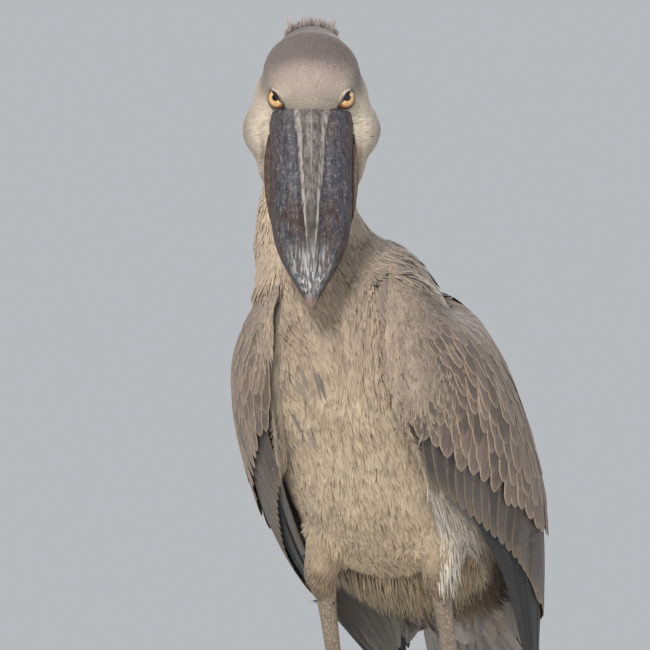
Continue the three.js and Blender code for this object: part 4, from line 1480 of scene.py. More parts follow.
def tufts(
    points: Array, normals: Array, lie: Array, length: Array, width: Array, rise: Array, tone: Array,
    plume: Array,
    spots: Array, rings: int = 2,
) -> Sheet:
    """Closed slim feathers: a root point, one or two flat three-sided rings with a ridge, and a tip.

    The centre line runs along the lie and rises by the rise's tangent, less six tenths of it by the tip.

    Args:
        points: Roots.
        normals: Skin normals.
        lie: Directions along the skin.
        length: Lengths.
        width: Widths.
        rise: Start angles over the skin.
        tone: A value from 0 to 1 for each tuft.
        plume: A colour for each.
        spots: The root's place on the skin's unwrap.
        rings: One ring for fine down, two for longer feathers.

    Returns:
        The mesh.
    """
    count = len(points)
    across = np.cross(lie, normals)
    at = np.array([0.0, 0.45, 1.0]) if rings == 1 else np.array([0.0, 0.3, 0.72, 1.0])
    half = np.array([1.0]) if rings == 1 else np.array([0.85, 0.9])
    reach = length[:, None] * at
    height = reach * np.tan(rise)[:, None] * (1 - 0.6 * at) - 0.5 * (1 - at) ** 2
    spine = points[:, None] + lie[:, None] * reach[..., None] + normals[:, None] * height[..., None]
    out = np.array([-1.0, 0.0, 1.0])
    part = (width[:, None, None] / 2 * half[:, None])[..., None]
    spread = across[:, None, None] * part * out[:, None]
    ridge = normals[:, None, None] * part * (0.4 * (1 - np.abs(out)))[:, None]
    body = (spine[:, 1:-1, None] + spread + ridge).reshape(count, 3 * rings, 3)
    placed = np.concatenate([spine[:, :1], body, spine[:, -1:]], axis=1).reshape(-1, 3)
    per = 3 * rings + 2
    k = np.arange(3)
    right = (k + 1) % 3
    last = 3 * rings - 2
    root = np.stack([0 * k, 1 + right, 1 + k], axis=1)
    tip = np.stack([last + k, last + right, 0 * k + per - 1], axis=1)
    quads = np.zeros((0, 4), int)
    if rings == 2:
        quads = np.stack([1 + k, 1 + right, 4 + right, 4 + k], axis=1)
    step = (np.arange(count) * per)[:, None, None]
    here = np.concatenate([[0.0], np.repeat(at[1:-1], 3), [1.0]])
    sideways = np.concatenate([[0.0], np.tile(out, rings), [0.0]])
    patch = np.stack([sideways / 2, here - 0.5], axis=1) * 0.003
    soft = (
        normals[:, None] + across[:, None] * (0.45 * sideways)[:, None]
        + lie[:, None] * (0.3 * here - 0.15)[:, None]
    )
    return Sheet(
        placed, (quads[None] + step).reshape(-1, 4),
        (np.concatenate([root, tip])[None] + step).reshape(-1, 3),
        {"along": np.tile(here, count), "tone": np.repeat(tone, per)},
        {"plume": np.repeat(plume, per, axis=0)},
        {"OFBake": np.repeat(spots, per, axis=0) + np.tile(patch, (count, 1))},
        unit(soft).reshape(-1, 3),
    )


def closed_vanes(top: Array, under: Array, tone: Array, plume: Array) -> Sheet:
    """Closed thin vanes from the grids of their two faces.

    Args:
        top: Upper faces: vanes by steps along by lines across by three.
        under: Lower faces, alike.
        tone: A value from 0 to 1 for each vane.
        plume: A colour for each vane.

    Returns:
        The mesh with its Vane map, and an OFBake map that gives each vane a cell of its own.
    """
    count, steps, lines, _ = top.shape
    grid = grid_quads(steps, lines, False)
    size = steps * lines
    middle, line = steps // 2, lines // 2
    facing = np.cross(
        top[0, middle, line + 1] - top[0, middle, line], top[0, middle + 1, line] - top[0, middle, line]
    )
    if (facing * (top[0, middle, line] - under[0, middle, line])).sum() < 0:
        grid = grid[:, ::-1]
        turned = True
    else:
        turned = False
    rim = np.concatenate(
        [
            np.arange(lines), np.arange(1, steps) * lines + lines - 1,
            (steps - 1) * lines + np.arange(lines - 2, -1, -1),
            np.arange(steps - 2, 0, -1) * lines,
        ]
    )
    after = np.roll(rim, -1)
    wall = np.stack([after, rim, rim + size, after + size], axis=1)
    if turned:
        wall = wall[:, ::-1]
    quads = np.concatenate([grid, grid[:, ::-1] + size, wall])
    step = (np.arange(count) * 2 * size)[:, None, None]
    t, a = np.meshgrid(np.linspace(0, 1, steps), np.linspace(0, 1, lines), indexing="ij")
    vane = np.stack([a.ravel(), t.ravel()], axis=1)
    side = int(math.ceil(math.sqrt(count)))
    cell = np.stack([np.arange(count) % side, np.arange(count) // side], axis=1) / side
    low = cell[:, None] + (vane * np.array([0.42, 0.9]) + 0.04) / side
    high = low + np.array([0.48, 0.0]) / side
    return Sheet(
        np.concatenate([top.reshape(count, size, 3), under.reshape(count, size, 3)], axis=1).reshape(-1, 3),
        (quads[None] + step).reshape(-1, 4),
        values={"tone": np.repeat(tone, 2 * size)},
        colours={"plume": np.repeat(plume, 2 * size, axis=0)},
        maps={
            "Vane": np.tile(np.concatenate([vane, vane]), (count, 1)),
            "OFBake": np.concatenate([low, high], axis=1).reshape(-1, 2),
        },
    )


def vane_outline(steps: int, blunt: float = 4.0) -> tuple[Array, Array]:
    """A feather's steps from root to tip, closer at the tip, and its half width at each.

    The width rises from a narrow root by a smooth step, and ends as the root of one less a power of the
    length.

    Args:
        steps: Number of steps.
        blunt: The power; more is blunter.

    Returns:
        Places along, 0 to 1, and half widths, 0 to 1.
    """
    at = np.sin(np.linspace(0, math.pi / 2, steps)) ** 0.85
    wide = (0.45 + 0.55 * smooth(at, 0.0, 0.3)) * np.maximum(1 - at**blunt, 0.0) ** 0.62
    wide[-1] = 0.03
    return at, wide


def body_vanes(
    points: Array, normals: Array, lie: Array, length: Array, width: Array, rise: Array, tone: Array,
    plume: Array,
    blunt: float = 4.0, droop: float = 0.06, lines: int = 5, steps: int = 7,
) -> Sheet:
    """Larger feathers that stand on the skin: curved sheets with two faces.

    Args:
        points: Roots.
        normals: Skin normals.
        lie: Directions along the skin.
        length: Lengths.
        width: Widths.
        rise: Start angles.
        tone: Tones.
        plume: Colours.
        blunt: How blunt the tips are.
        droop: How far they bend back, as a share of the length.
        lines: Lines across.
        steps: Steps along.

    Returns:
        The mesh.
    """
    at, wide = vane_outline(steps, blunt)
    a = np.linspace(-1, 1, lines)
    across = np.cross(lie, normals)
    reach = length[:, None] * at
    height = reach * np.tan(rise)[:, None] * (1 - 0.5 * at) - length[:, None] * droop * at**2
    spine = points[:, None] + lie[:, None] * reach[..., None] + normals[:, None] * height[..., None]
    half = (width[:, None] / 2 * wide)[..., None] * a
    camber = 0.18 * width[:, None, None] / 2 * (1 - a**2) * wide[:, None]
    top = (
        spine[:, :, None] + across[:, None, None] * half[..., None]
        + normals[:, None, None] * camber[..., None]
    )
    under = top - normals[:, None, None] * 0.35
    return closed_vanes(top, under, tone, plume)


# Wings and tail


def secondary_tips(over: Array) -> Array:
    """The line of the secondaries' tips."""
    return 0.42 + 0.44 * (1 - (1 - over) ** 3.4)


def greater_tips(over: Array) -> Array:
    """The line of the greater coverts' tips."""
    return 0.24 + 0.46 * (1 - (1 - over) ** 3.5)


# Places tried for a shoulder's tufts. Those kept are given by side: how many, how far over the wing they
# reach beside the front edge, how far down there, and how far down at the top.
SHOULDER_TRIES = 60000
SHOULDER_COVER = {Side.LEFT: (8000, 0.26, 0.3, 0.17), Side.RIGHT: (4500, 0.1, 0.2, 0.1)}

# The core's narrowing towards its tip, by side: the line it narrows to, by how much, and where it begins.
CORE_NARROWING = {Side.LEFT: (0.6, 0.72, 0.45), Side.RIGHT: (0.53, 0.62, 0.6)}


@dataclass
class Wing:
    """One folded wing: a thin fleshy core, quills and rows of coverts, all on the wing's own curved face."""

    side: Side
    hang: tuple[float, float] = (-0.12, -1.0)
    row_step: float = 0.058
    quill_finish: VaneFinish = VaneFinish(
        "secondaries", srgb(90, 84, 82), srgb(166, 146, 126), srgb(48, 43, 42), 0.6, 0.55, 0.0, 0.5
    )
    primary_finish: VaneFinish = VaneFinish(
        "primaries", srgb(48, 49, 52), srgb(84, 83, 82), srgb(96, 94, 93), 0.35, 0.5
    )
    lining_finish: VaneFinish = VaneFinish(
        "primary_lining", srgb(138, 133, 129), srgb(156, 150, 145), srgb(120, 114, 110), 0.3, 0.5
    )
    covert_finish: VaneFinish = VaneFinish(
        "coverts", srgb(108, 95, 88), srgb(200, 181, 159), srgb(54, 45, 41), 0.95, 0.85, 0.75, 0.36
    )
    long_finish: VaneFinish = VaneFinish(
        "scapulars", srgb(106, 99, 97), srgb(150, 138, 128), srgb(70, 64, 62), 0.5, 0.6
    )

    def size(self, down: Array) -> Array:
        """How large the coverts are at a place down the wing, from 0 at the shoulder to 1."""
        return smooth(down, 0.0, 0.42)

    def row_tips(self, line: Callable[[Array], Array], spacing: Callable[[Array], Array]) -> Array:
        """Tips along a row's line, as far apart as the spacing says where they are.

        Args:
            line: Down for each over.
            spacing: Millimetres between tips for each down.

        Returns:
            Down and over of each tip.
        """
        over = np.linspace(0.0, 1.0, 500)
        down = line(over)
        over, down = over[down > 0.045], down[down > 0.045]
        if len(over) < 3:
            return np.zeros((0, 2))
        spots = wing_place(self.side, down, over, 0)
        steps = np.linalg.norm(np.diff(spots, axis=0), axis=1) / spacing(down[1:])
        run = np.concatenate([[0.0], np.cumsum(steps)])
        marks = np.arange(0.2, run[-1], 1.0)
        return np.stack([np.interp(marks, run, down), np.interp(marks, run, over)], axis=1)

    def roots_of(self, tip: Array, length: Array, back: float) -> Array:
        """Roots of feathers that hang to their tips, found by one step back along the face."""
        way = place(0.0, back, self.hang[1])
        half = tip - wing_step(self.side, tip[:, 0], tip[:, 1], way) * length[:, None] / 2
        half[:, 1] = np.clip(half[:, 1], -0.02, 1.02)
        root = tip - wing_step(self.side, half[:, 0], half[:, 1], way) * length[:, None]
        return np.stack([np.maximum(root[:, 0], -0.01), np.clip(root[:, 1], -0.02, 1.05)], axis=1)

    def vanes(
        self, root: Array, tip: Array, width: Array, lift: Array, climb: Array, blunt: float,
        draw: np.random.Generator, steps: int = 12, lines: int = 7,
    ) -> Sheet:
        """Vanes between places on the wing.

        Each face point lies at its step between root and tip, moved across the feather by its line's share
        of the half width, and lifted by the row's height, a climb to the tip, a slant across and a low
        camber.

        Args:
            root: Down and over of each root.
            tip: Down and over of each tip.
            width: Widths in millimetres.
            lift: Height of the roots over the wing's face.
            climb: How much higher the tips are.
            blunt: How blunt the tips are.
            draw: Seeded draws.
            steps: Steps along.
            lines: Lines across.

        Returns:
            The mesh.
        """
        at, wide = vane_outline(steps, blunt)
        a = np.linspace(-1, 1, lines)
        centre = root[:, None] + (tip - root)[:, None] * at[:, None]
        along, across, normal = wing_axes(self.side, centre[..., 0], centre[..., 1])
        run = along * (tip - root)[:, None, :1] + across * (tip - root)[:, None, 1:]
        sideways = unit(np.cross(normal, run))
        sideways = sideways * np.sign((sideways * across).sum(-1, keepdims=True))
        step = wing_step(self.side, centre[..., 0], centre[..., 1], sideways)
        notch = 1 + draw.normal(0, 0.035, (len(root), steps, 1)) * np.abs(a) ** 4
        half = (width[:, None] / 2 * wide)[..., None] * a * notch
        level = np.reshape(lift, (-1, 1, 1)) + np.reshape(climb, (-1, 1, 1)) * at[None, :, None]
        level = level - 0.065 * half + 0.02 * width[:, None, None] * (1 - a**2) * wide[None, :, None]
        level = level + draw.normal(0, 0.15, (len(root), 1, 1)) * at[None, :, None]
        where = centre[:, :, None] + step[:, :, None] * half[..., None]
        top = wing_place(self.side, where[..., 0], where[..., 1], level)
        under = wing_place(self.side, where[..., 0], where[..., 1], level - 0.4)
        return closed_vanes(top, under, draw.random(len(root)), self.plume(tip))

    def plume(self, tip: Array) -> Array:
        """Covert colour by place: paler at the shoulder's top, greyer at the rear, browner to the front, and
        painted lighter on the right wing, the side the lamp lights.
        """
        front = np.array(srgb(117, 102, 93)[:3])
        rear = np.array(srgb(104, 96, 92)[:3])
        top = np.array(srgb(132, 118, 109)[:3])
        share = smooth(tip[:, 1], 0.45, 1.0)[:, None]
        high = smooth(tip[:, 0], 0.3, 0.08)[:, None]
        # Painted light: the right wing is 1.3 times paler than the left, on the side that faces the lamp.
        pale = 1.3 if self.side is Side.RIGHT else 1.04
        pale = pale * (0.94 + 0.2 * smooth(tip[:, 0], 0.35, 0.7)[:, None])
        return ((front * (1 - share) + rear * share) * (1 - high) + top * high) * pale

    def quills(self) -> Sheet:
        """The secondaries."""
        draw = np.random.default_rng(41 + self.side.value)
        tip = self.row_tips(secondary_tips, lambda down: 17.0 + 0 * down) + draw.normal(0, 0.003, 2)
        many = len(tip)
        root = self.roots_of(tip, np.full(many, 210.0), -0.3)
        return self.vanes(
            root, tip, draw.uniform(33, 37, many), np.full(many, 3.0), np.full(many, 2.6), 5.0, draw, 14
        )

    def primaries(self) -> Sheet:
        """The long primaries, stacked from the front and closing to the wing's tip."""
        draw = np.random.default_rng(7 + self.side.value)
        share = np.linspace(0, 1, 10)
        start = 0.06 + 0.86 * share
        root = np.stack([secondary_tips(start) - 0.26, start], axis=1)
        tip = np.stack([1 - 0.08 * share**1.3, 0.2 + 0.66 * share], axis=1)
        lift = -0.4 + 0.3 * np.arange(10)
        return self.vanes(root, tip, np.full(10, 30.0), lift, np.full(10, 0.6), 2.6, draw, 20, 7)

    def lining(self) -> Sheet:
        """Pale vanes under the primaries, which show from the wing's hollow side."""
        draw = np.random.default_rng(9 + self.side.value)
        share = np.linspace(0, 1, 8)
        start = 0.1 + 0.82 * share
        root = np.stack([secondary_tips(start) - 0.2, start], axis=1)
        tip = np.stack([0.97 - 0.08 * share**1.3, 0.24 + 0.6 * share], axis=1)
        return self.vanes(
            root, tip, np.full(8, 34.0), -2.0 - 0.3 * np.arange(8), np.full(8, -0.6), 2.6, draw, 14, 5
        )

    def coverts(self) -> Sheet:
        """Diagonal rows of coverts with the same step between them, the greater lowest and largest."""
        draw = np.random.default_rng(61 + self.side.value)
        rows = []
        shift, step = 0.0, self.row_step
        while shift < 0.66:
            tip = self.row_tips(
                lambda over: greater_tips(over) - shift, lambda down: 8.5 + 12.5 * self.size(down)
            )
            first = 0.115 + 0.14 * smooth(tip[:, 1], 0.16, 0.0) if self.side is Side.RIGHT else 0.09
            tip = tip[tip[:, 0] > first]
            if len(tip):
                tip = tip + draw.normal(0, 1, tip.shape) * np.array([0.005, 0.006])
                big = self.size(tip[:, 0])
                root = self.roots_of(tip, 32 + 72 * big, self.hang[0])
                width = (15.0 + 21.0 * big) * draw.uniform(0.92, 1.08, len(tip))
                rows.append(self.vanes(root, tip, width, 6.4 + 0 * big, 2.4 + 1.6 * big, 3.4, draw))
            shift += step
            step = max(0.024, step * 0.95)
        return join_cells(rows)

    def scapulars(self) -> Sheet:
        """Long plain feathers along the wing's rear edge, from the shoulder down."""
        draw = np.random.default_rng(71 + self.side.value)
        share = np.linspace(0, 1, 9)
        tip = np.stack([0.2 + 0.42 * share, 0.86 + 0.12 * np.sin(share * 2.6)], axis=1)
        root = np.stack([tip[:, 0] - 0.2 - 0.1 * share, 1.0 + 0.03 * share], axis=1)
        order = np.linspace(2.2, 0, 9)
        return self.vanes(root, tip, 26 + 8 * share, 9.0 + order, np.full(9, 2.6), 4.0, draw, 14)

    def shoulder(self) -> Sheet:
        """Small soft feathers over the shoulder, down the front edge and along the rear edge."""
        draw = np.random.default_rng(81 + self.side.value)
        down = draw.uniform(0.02, 0.32, SHOULDER_TRIES)
        over = draw.uniform(-0.03, 1.03, SHOULDER_TRIES)
        many, wide, low, top = SHOULDER_COVER[self.side]
        cover = smooth(down, top, 0.5 * top) + smooth(over, wide, 0.4 * wide) * smooth(down, low, 0.6 * low)
        cover = cover + smooth(over, 0.84, 0.96)
        keep = np.flatnonzero(draw.random(SHOULDER_TRIES) < np.clip(cover, 0, 1))[:many]
        down, over = down[keep], over[keep]
        _, _, facing = wing_axes(self.side, down, over)
        points = wing_place(
            self.side, down, over, 8.5 + 2.5 * smooth(down, 0.0, 0.12) + 4.5 * smooth(over, 0.8, 0.95)
        )
        way = place(self.side.value * 0.1, -0.2, -1.0) + Plumage.swirled(points, 0.2)
        share = smooth(over, 0.0, 0.45)[:, None]
        plume = np.array(srgb(169, 152, 136)[:3]) * (1 - share) + np.array(srgb(136, 123, 115)[:3]) * share
        spots = np.stack([0.02 + 0.7 * np.clip(over, 0, 1), 0.02 + 0.96 * np.clip(down / 0.33, 0, 1)], axis=1)
        return self.down_tufts(draw, points, facing, way, plume, spots)

    def down_tufts(
        self, draw: np.random.Generator, points: Array, facing: Array, way: Array, plume: Array, spots: Array
    ) -> Sheet:
        """Soft tufts of the body's kind at places of the wing, lying along the given directions."""
        many = len(points)
        way = way + draw.normal(0, 0.12, points.shape)
        lie = square_to(way, facing)
        return tufts(
            points, facing, lie, draw.uniform(14, 25, many), draw.uniform(2.0, 3.4, many),
            np.radians(draw.uniform(5, 13, many)), draw.random(many), plume, spots, 1,
        )

    def front_edge(self) -> Sheet:
        """Breast and belly feathers that run over the wing's front edge."""
        draw = np.random.default_rng(91 + self.side.value)
        many = 2400
        down = draw.uniform(0.1, 0.37, many)
        level = draw.uniform(-14, 5, many)
        out = smooth(level, -14, 5)[:, None]
        _, across, normal = wing_axes(self.side, down, 0 * down)
        facing = unit(normal * out - unit(across) * (1 - out))
        points = wing_place(self.side, down, 0 * down - 0.004, level)
        way = place(self.side.value * 0.3, -0.3, -1.0) + normal * 0.3
        low = smooth(down, 0.1, 0.4)[:, None]
        plume = np.array(srgb(154, 139, 125)[:3]) * (1 - low) + np.array(srgb(168, 152, 134)[:3]) * low
        spots = np.stack([0.76 + 0.22 * out[:, 0], 0.02 + 0.96 * down / 0.66], axis=1)
        return self.down_tufts(draw, points, facing, way, plume, spots)

    def core(self) -> Sheet:
        """The fleshy core: a closed plate from under the coverts to the wing's hollow side."""
        steps, lines = 40, 30
        down = np.linspace(0, 0.95, steps)[:, None]
        over = np.linspace(0.015, 0.985, lines)[None, :]
        edge = 1 - np.abs(2 * over - 1) ** 4
        middle, narrow, start = CORE_NARROWING[self.side]
        over = middle + (over - middle) * (1 - narrow * smooth(down, start, 0.92))
        cover = smooth(greater_tips(over) + 0.02 - down, 0.0, 0.25)
        if self.side is Side.RIGHT:
            sunk = 14.0 * smooth(down, 0.18, 0.08) * smooth(over, 0.5, 0.3)
        else:
            sunk = 12.0 * smooth(down, 0.13, 0.04)
        top = wing_place(self.side, down, over, -1.5 + 7.5 * cover * edge - sunk)
        under = wing_place(
            self.side, down, over, -3.2 - 12 * (1 - down) * edge * smooth(0.95 - down, 0.0, 0.3) - sunk
        )
        sheet = closed_vanes(top[None], under[None], np.array([0.5]), np.array([srgb(112, 104, 100)[:3]]))
        sheet.maps["Vane"] = sheet.maps["Vane"] * np.array([9.0, 1.0]) % np.array([1.0, 2.0])
        return sheet

    def build(self) -> None:
        """Makes the wing's pieces; together they stand for its solid."""
        name = self.side.name.lower()
        lining = VaneFinish(
            "wing_lining", srgb(112, 107, 105), srgb(150, 140, 130), srgb(90, 84, 80), 0.2, 0.4
        )
        down = TuftFinish("shoulder_down", 0.35, 0.16, 0.5)
        edge_down = TuftFinish("edge_down", 0.3, 0.16, 0.4)
        pieces = (
            ("wing_core", self.core, lining, "flight_feathers"),
            ("primaries", self.primaries, self.primary_finish, "flight_feathers"),
            ("primary_lining", self.lining, self.lining_finish, "flight_feathers"),
            ("secondaries", self.quills, self.quill_finish, "flight_feathers"),
            ("coverts", self.coverts, self.covert_finish, "flight_feathers"),
            ("scapulars", self.scapulars, self.long_finish, "flight_feathers"),
            ("shoulder", self.shoulder, down, "body_feathers"),
            ("wing_edge", self.front_edge, edge_down, "body_feathers"),
        )
        for piece, form, finish, slot in pieces:
            made = build_object(f"{piece}_{name}", form(), finish.build(), slot)
            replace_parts(made, f"wing_{name}")


@dataclass
class Tail:
    """Twelve tail quills fanned a little, with coverts over and under their roots."""

    count: int = 12
    fan: float = math.radians(11)
    width: float = 32.0
    length: float = 222.0
    finish: VaneFinish = VaneFinish(
        "tail_quills", srgb(132, 127, 124), srgb(156, 150, 144), srgb(74, 70, 68), 0.4, 0.5
    )

    def quills(self) -> Sheet:
        """The quills, the middle pair on top."""
        draw = np.random.default_rng(31)
        fan = np.linspace(-1, 1, self.count)
        at, wide = vane_outline(18, 6.0)
        a = np.linspace(-1, 1, 7)
        reach = 10 + (self.length * (1 - 0.11 * fan**2) - 10)[:, None] * at
        angle = (fan * self.fan)[:, None, None]
        half = (self.width / 2 * wide)[None, :, None] * a
        lift = 10 * (0.5 - np.abs(fan))[:, None, None] - np.sign(fan)[:, None, None] * half * 0.06
        lift = lift + 0.05 * self.width * (1 - a**2)
        out = fan[:, None, None] * 24 + np.sin(angle) * reach[..., None] + np.cos(angle) * half
        back = np.cos(angle) * reach[..., None] + 0 * half
        top = tail_place(out, back, lift)
        under = tail_place(out, back, lift - 0.6)
        return closed_vanes(
            top, under, draw.random(self.count), np.tile(srgb(122, 117, 115)[:3], (self.count, 1))
        )

    def coverts(self) -> Sheet:
        """Softer feathers over and under the quills' roots, in staggered rows."""
        draw = np.random.default_rng(32)
        sheets = []
        for face in (1, -1):
            rows = np.repeat(np.arange(6), 9)
            out = np.tile(np.linspace(-1, 1, 9), 6) * (40 - 1.5 * rows) + draw.normal(0, 2, 54)
            reach = rows * 17.0 - 30 + draw.normal(0, 3, 54)
            lift = face * (15 - 0.09 * reach) * (1 - 0.35 * (out / 44) ** 2) - 1
            points = tail_place(out, reach, lift)
            ahead = unit(tail_place(out * 1.1, reach + 10, lift) - points)
            normals = unit(tail_place(out, reach, lift + face) - points)
            sheets.append(
                body_vanes(
                    points, normals, ahead, draw.uniform(62, 84, 54), draw.uniform(24, 31, 54),
                    np.radians(draw.uniform(0, 4, 54)), draw.random(54),
                    np.tile(srgb(112, 106, 104)[:3] if face > 0 else srgb(150, 138, 124)[:3], (54, 1)), 3.0,
                    0.08, 7, 9,
                )
            )
        return join_all(sheets)

    def build(self) -> None:
        """Makes the tail's pieces."""
        quills = build_object("tail_quills", self.quills(), self.finish.build(), "flight_feathers")
        look = VaneFinish(
            "tail_coverts", srgb(110, 104, 102), srgb(160, 150, 138), srgb(70, 64, 62), 0.6, 0.6, 0.9
        )
        sheet = self.coverts()
        half = len(sheet.points) // 2
        sheet.maps["OFBake"][:half, 0] *= 0.5
        sheet.maps["OFBake"][half:, 0] = 0.5 + 0.5 * sheet.maps["OFBake"][half:, 0]
        coverts = build_object("tail_coverts", sheet, look.build(), "flight_feathers")
        for made in (quills, coverts):
            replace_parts(made, "tail")


# Head


@dataclass
class Crest:
    """The short ragged crest at the back of the crown."""

    strands: int = 3200

    def build(self) -> None:
        """Makes soft strands over the back of the crown, and a few long wisps that stand up at both sides."""
        draw = np.random.default_rng(17)
        side = draw.uniform(-1, 1, self.strands)
        back = draw.random(self.strands)
        start = np.stack([side * (27 - 5 * back), -70 - 4 * back, -36 - 26 * back], 1)
        ways = unit(start - HEAD_MIDDLE)
        lie = (
            np.stack([side * 0.12, -1.0 + 0 * side, -0.3 - 0.3 * back], 1)
            + draw.normal(0, 0.13, (self.strands, 3))
        )
        length = draw.uniform(3, 14, self.strands) * (1.1 - 0.4 * side**2)
        fine = self.grown(ways, lie, length, draw.uniform(0.3, 0.55, self.strands), draw, 2.0)
        soft = build_object(
            "crest_down", fine, TuftFinish("crest_strands", 0.3, 0.2).build(), "head_feathers"
        )
        fan = np.concatenate(
            [draw.normal(-0.93, 0.07, 14), draw.normal(0.9, 0.05, 12), draw.uniform(-0.5, 0.5, 8)]
        )
        start = np.stack([fan * 20, -66 + 0 * fan, -26 - 6 * draw.random(len(fan))], 1)
        lie = np.stack([fan * 0.12, -1 + 0 * fan, -0.3 + 0 * fan], 1) + draw.normal(0, 0.12, (len(fan), 3))
        length = np.where(np.abs(fan) > 0.5, draw.uniform(17, 27, len(fan)), draw.uniform(11, 16, len(fan)))
        wisps = self.grown(
            unit(start - HEAD_MIDDLE), lie, length, draw.uniform(0.4, 0.9, len(fan)), draw, 2.3
        )
        wisp = build_object("crest_wisps", wisps, TuftFinish("crest_wisp", 0.3, 0.3).build(), "head_feathers")
        for made in (soft, wisp):
            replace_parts(made, "crest")

    @staticmethod
    def grown(
        ways: Array, lie: Array, length: Array, width: Array, draw: np.random.Generator, pale: float = 1.0
    ) -> Sheet:
        """Strands on the head where rays from its middle leave it.

        Args:
            ways: Rays in the head's frame.
            lie: Directions in the head's frame.
            length: Lengths.
            width: Widths.
            draw: Seeded draws.
            pale: How much paler than the crown.

        Returns:
            The mesh.
        """
        many = len(ways)
        local = head_surface(ways) - ways * 2.5
        along = unit(lie) @ HEAD_AXES
        normals = unit(np.cross(np.cross(along, ways @ HEAD_AXES), along))
        plume = (
            blend_marks(HEAD_MARKS, np.stack([np.abs(local[:, 0]), local[:, 1], local[:, 2]], axis=1)) * pale
        )
        spots = np.stack([0.5 + 0.4 * ways[:, 0], 0.5 + 0.4 * ways[:, 2]], axis=1)
        return tufts(
            head_place(local[:, 0], local[:, 1], local[:, 2]), normals, along, length, width,
            np.radians(draw.uniform(2, 16, many)), draw.random(many), plume, spots,
        )


class BillHalf(Enum):
    """Upper or lower half of the bill."""

    UPPER = "upper_bill"
    LOWER = "lower_bill"


@dataclass
class Bill:
    """The bill's halves, lofted along their tables, with a keel between two grooves and slit nostrils."""

    rings: int = 170
    around: int = 144
    nostril_along: float = 36.0
    nostril_spread: float = 16.5

    @staticmethod
    def line_at(along: Array) -> Array:
        """Distance of the pale lines from the middle: wide at the face and closing towards the nail."""
        table = np.array([[10.0, 16.8], [60.0, 12.6], [116.0, 8.8], [169.0, 4.4], [205.0, 2.4], [240.0, 1.0]])
        return np.interp(along, table[:, 0], table[:, 1])

    def loft(self, half: BillHalf) -> Sheet:
        """One half: at each station the width follows a cosine to the power 0.9 and the height a sine.

        Args:
            half: Which half.

        Returns:
            The mesh, with along, strip and flank values.
        """
        table = UPPER_BILL_ROWS if half is BillHalf.UPPER else LOWER_BILL_ROWS
        row = np.linspace(0, len(table) - 1, self.rings)[:, None]
        angle = np.linspace(0, 2 * math.pi, self.around, endpoint=False)[None, :]
        angle = angle + 0.22 * np.sin(2 * angle)
        along, wide, ridge, edge = np.moveaxis(between(table, row), -1, 0)
        x, z = np.sin(angle), np.cos(angle)
        reach = np.sign(x) * np.abs(x) ** 0.9 * wide
        up = np.maximum(z, 0)
        low = np.maximum(-z, 0)
        if half is BillHalf.UPPER:
            raised = (0.05 + 0.15 * smooth(along, 16.0, 70.0)) * np.exp(-((x / 0.2) ** 4))
            keel = raised - 0.05 * np.exp(-(((np.abs(x) - 0.33) / 0.09) ** 2))
            top = edge + (ridge - edge) * up**1.15 * (0.82 + keel)
            near = np.abs(reach) / self.line_at(along) - 1
            top = top + np.where(
                z > 0, 0.9 * np.exp(-((near / 0.2) ** 2)) - 0.9 * np.exp(-(((near - 0.5) / 0.25) ** 2)), 0
            )
            past = (along - self.nostril_along) / 7.0
            beside = (np.abs(reach) - self.nostril_spread - 2.5) / 1.6
            slit = np.exp(-(past ** 4) - beside ** 2)
            top = top - np.where(z > 0, 3.2 * slit, 0)
            rim = np.exp(-((1 - np.abs(x)) / 0.03) ** 2) * np.where(z > 0, 1, 0)
            height = np.where(z >= 0, top, edge - 3 * low) + 0.4 * rim
            height = np.where(z >= 0, height, edge + 3 * low)
        else:
            height = np.where(z >= 0, ridge - 3 * up, ridge + (edge - ridge) * low**0.85)
            ramp = 0.8 * np.exp(-(((np.abs(x) - 0.16) / 0.05) ** 2)) * (low > 0)
            height = height - ramp
        grid = head_place(reach, along + 0 * reach, height)
        sheet = capped_tube(grid)
        around_all = np.concatenate([(np.abs(reach) / self.line_at(along)).ravel(), [0.0, 0.0]])
        if half is BillHalf.LOWER:
            around_all = around_all + 3.0
        else:
            under = np.concatenate([(np.broadcast_to(z, reach.shape) < 0).ravel(), [False, False]])
            around_all = np.where(under, 5.0, around_all)
        flank = np.concatenate([np.broadcast_to(np.abs(x), reach.shape).ravel(), [0.0, 0.0]])
        sheet.values = {
            "along": np.concatenate([(np.broadcast_to(along, reach.shape) / 240).ravel(), [0.06, 0.98]]),
            "strip": around_all,
            "flank": flank,
        }
        return sheet

    def build(self) -> None:
        """Makes both halves."""
        upper = BillFinish("upper_horn", srgb(74, 74, 80), srgb(176, 170, 162), srgb(78, 62, 60), 1.0)
        lower = BillFinish("lower_horn", srgb(104, 88, 78), srgb(164, 148, 130), srgb(74, 54, 46), 0.0)
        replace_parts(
            build_object("bill_upper", self.loft(BillHalf.UPPER), upper.build(), "bill"), "upper_bill"
        )
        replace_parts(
            build_object("bill_lower", self.loft(BillHalf.LOWER), lower.build(), "bill"), "lower_bill"
        )


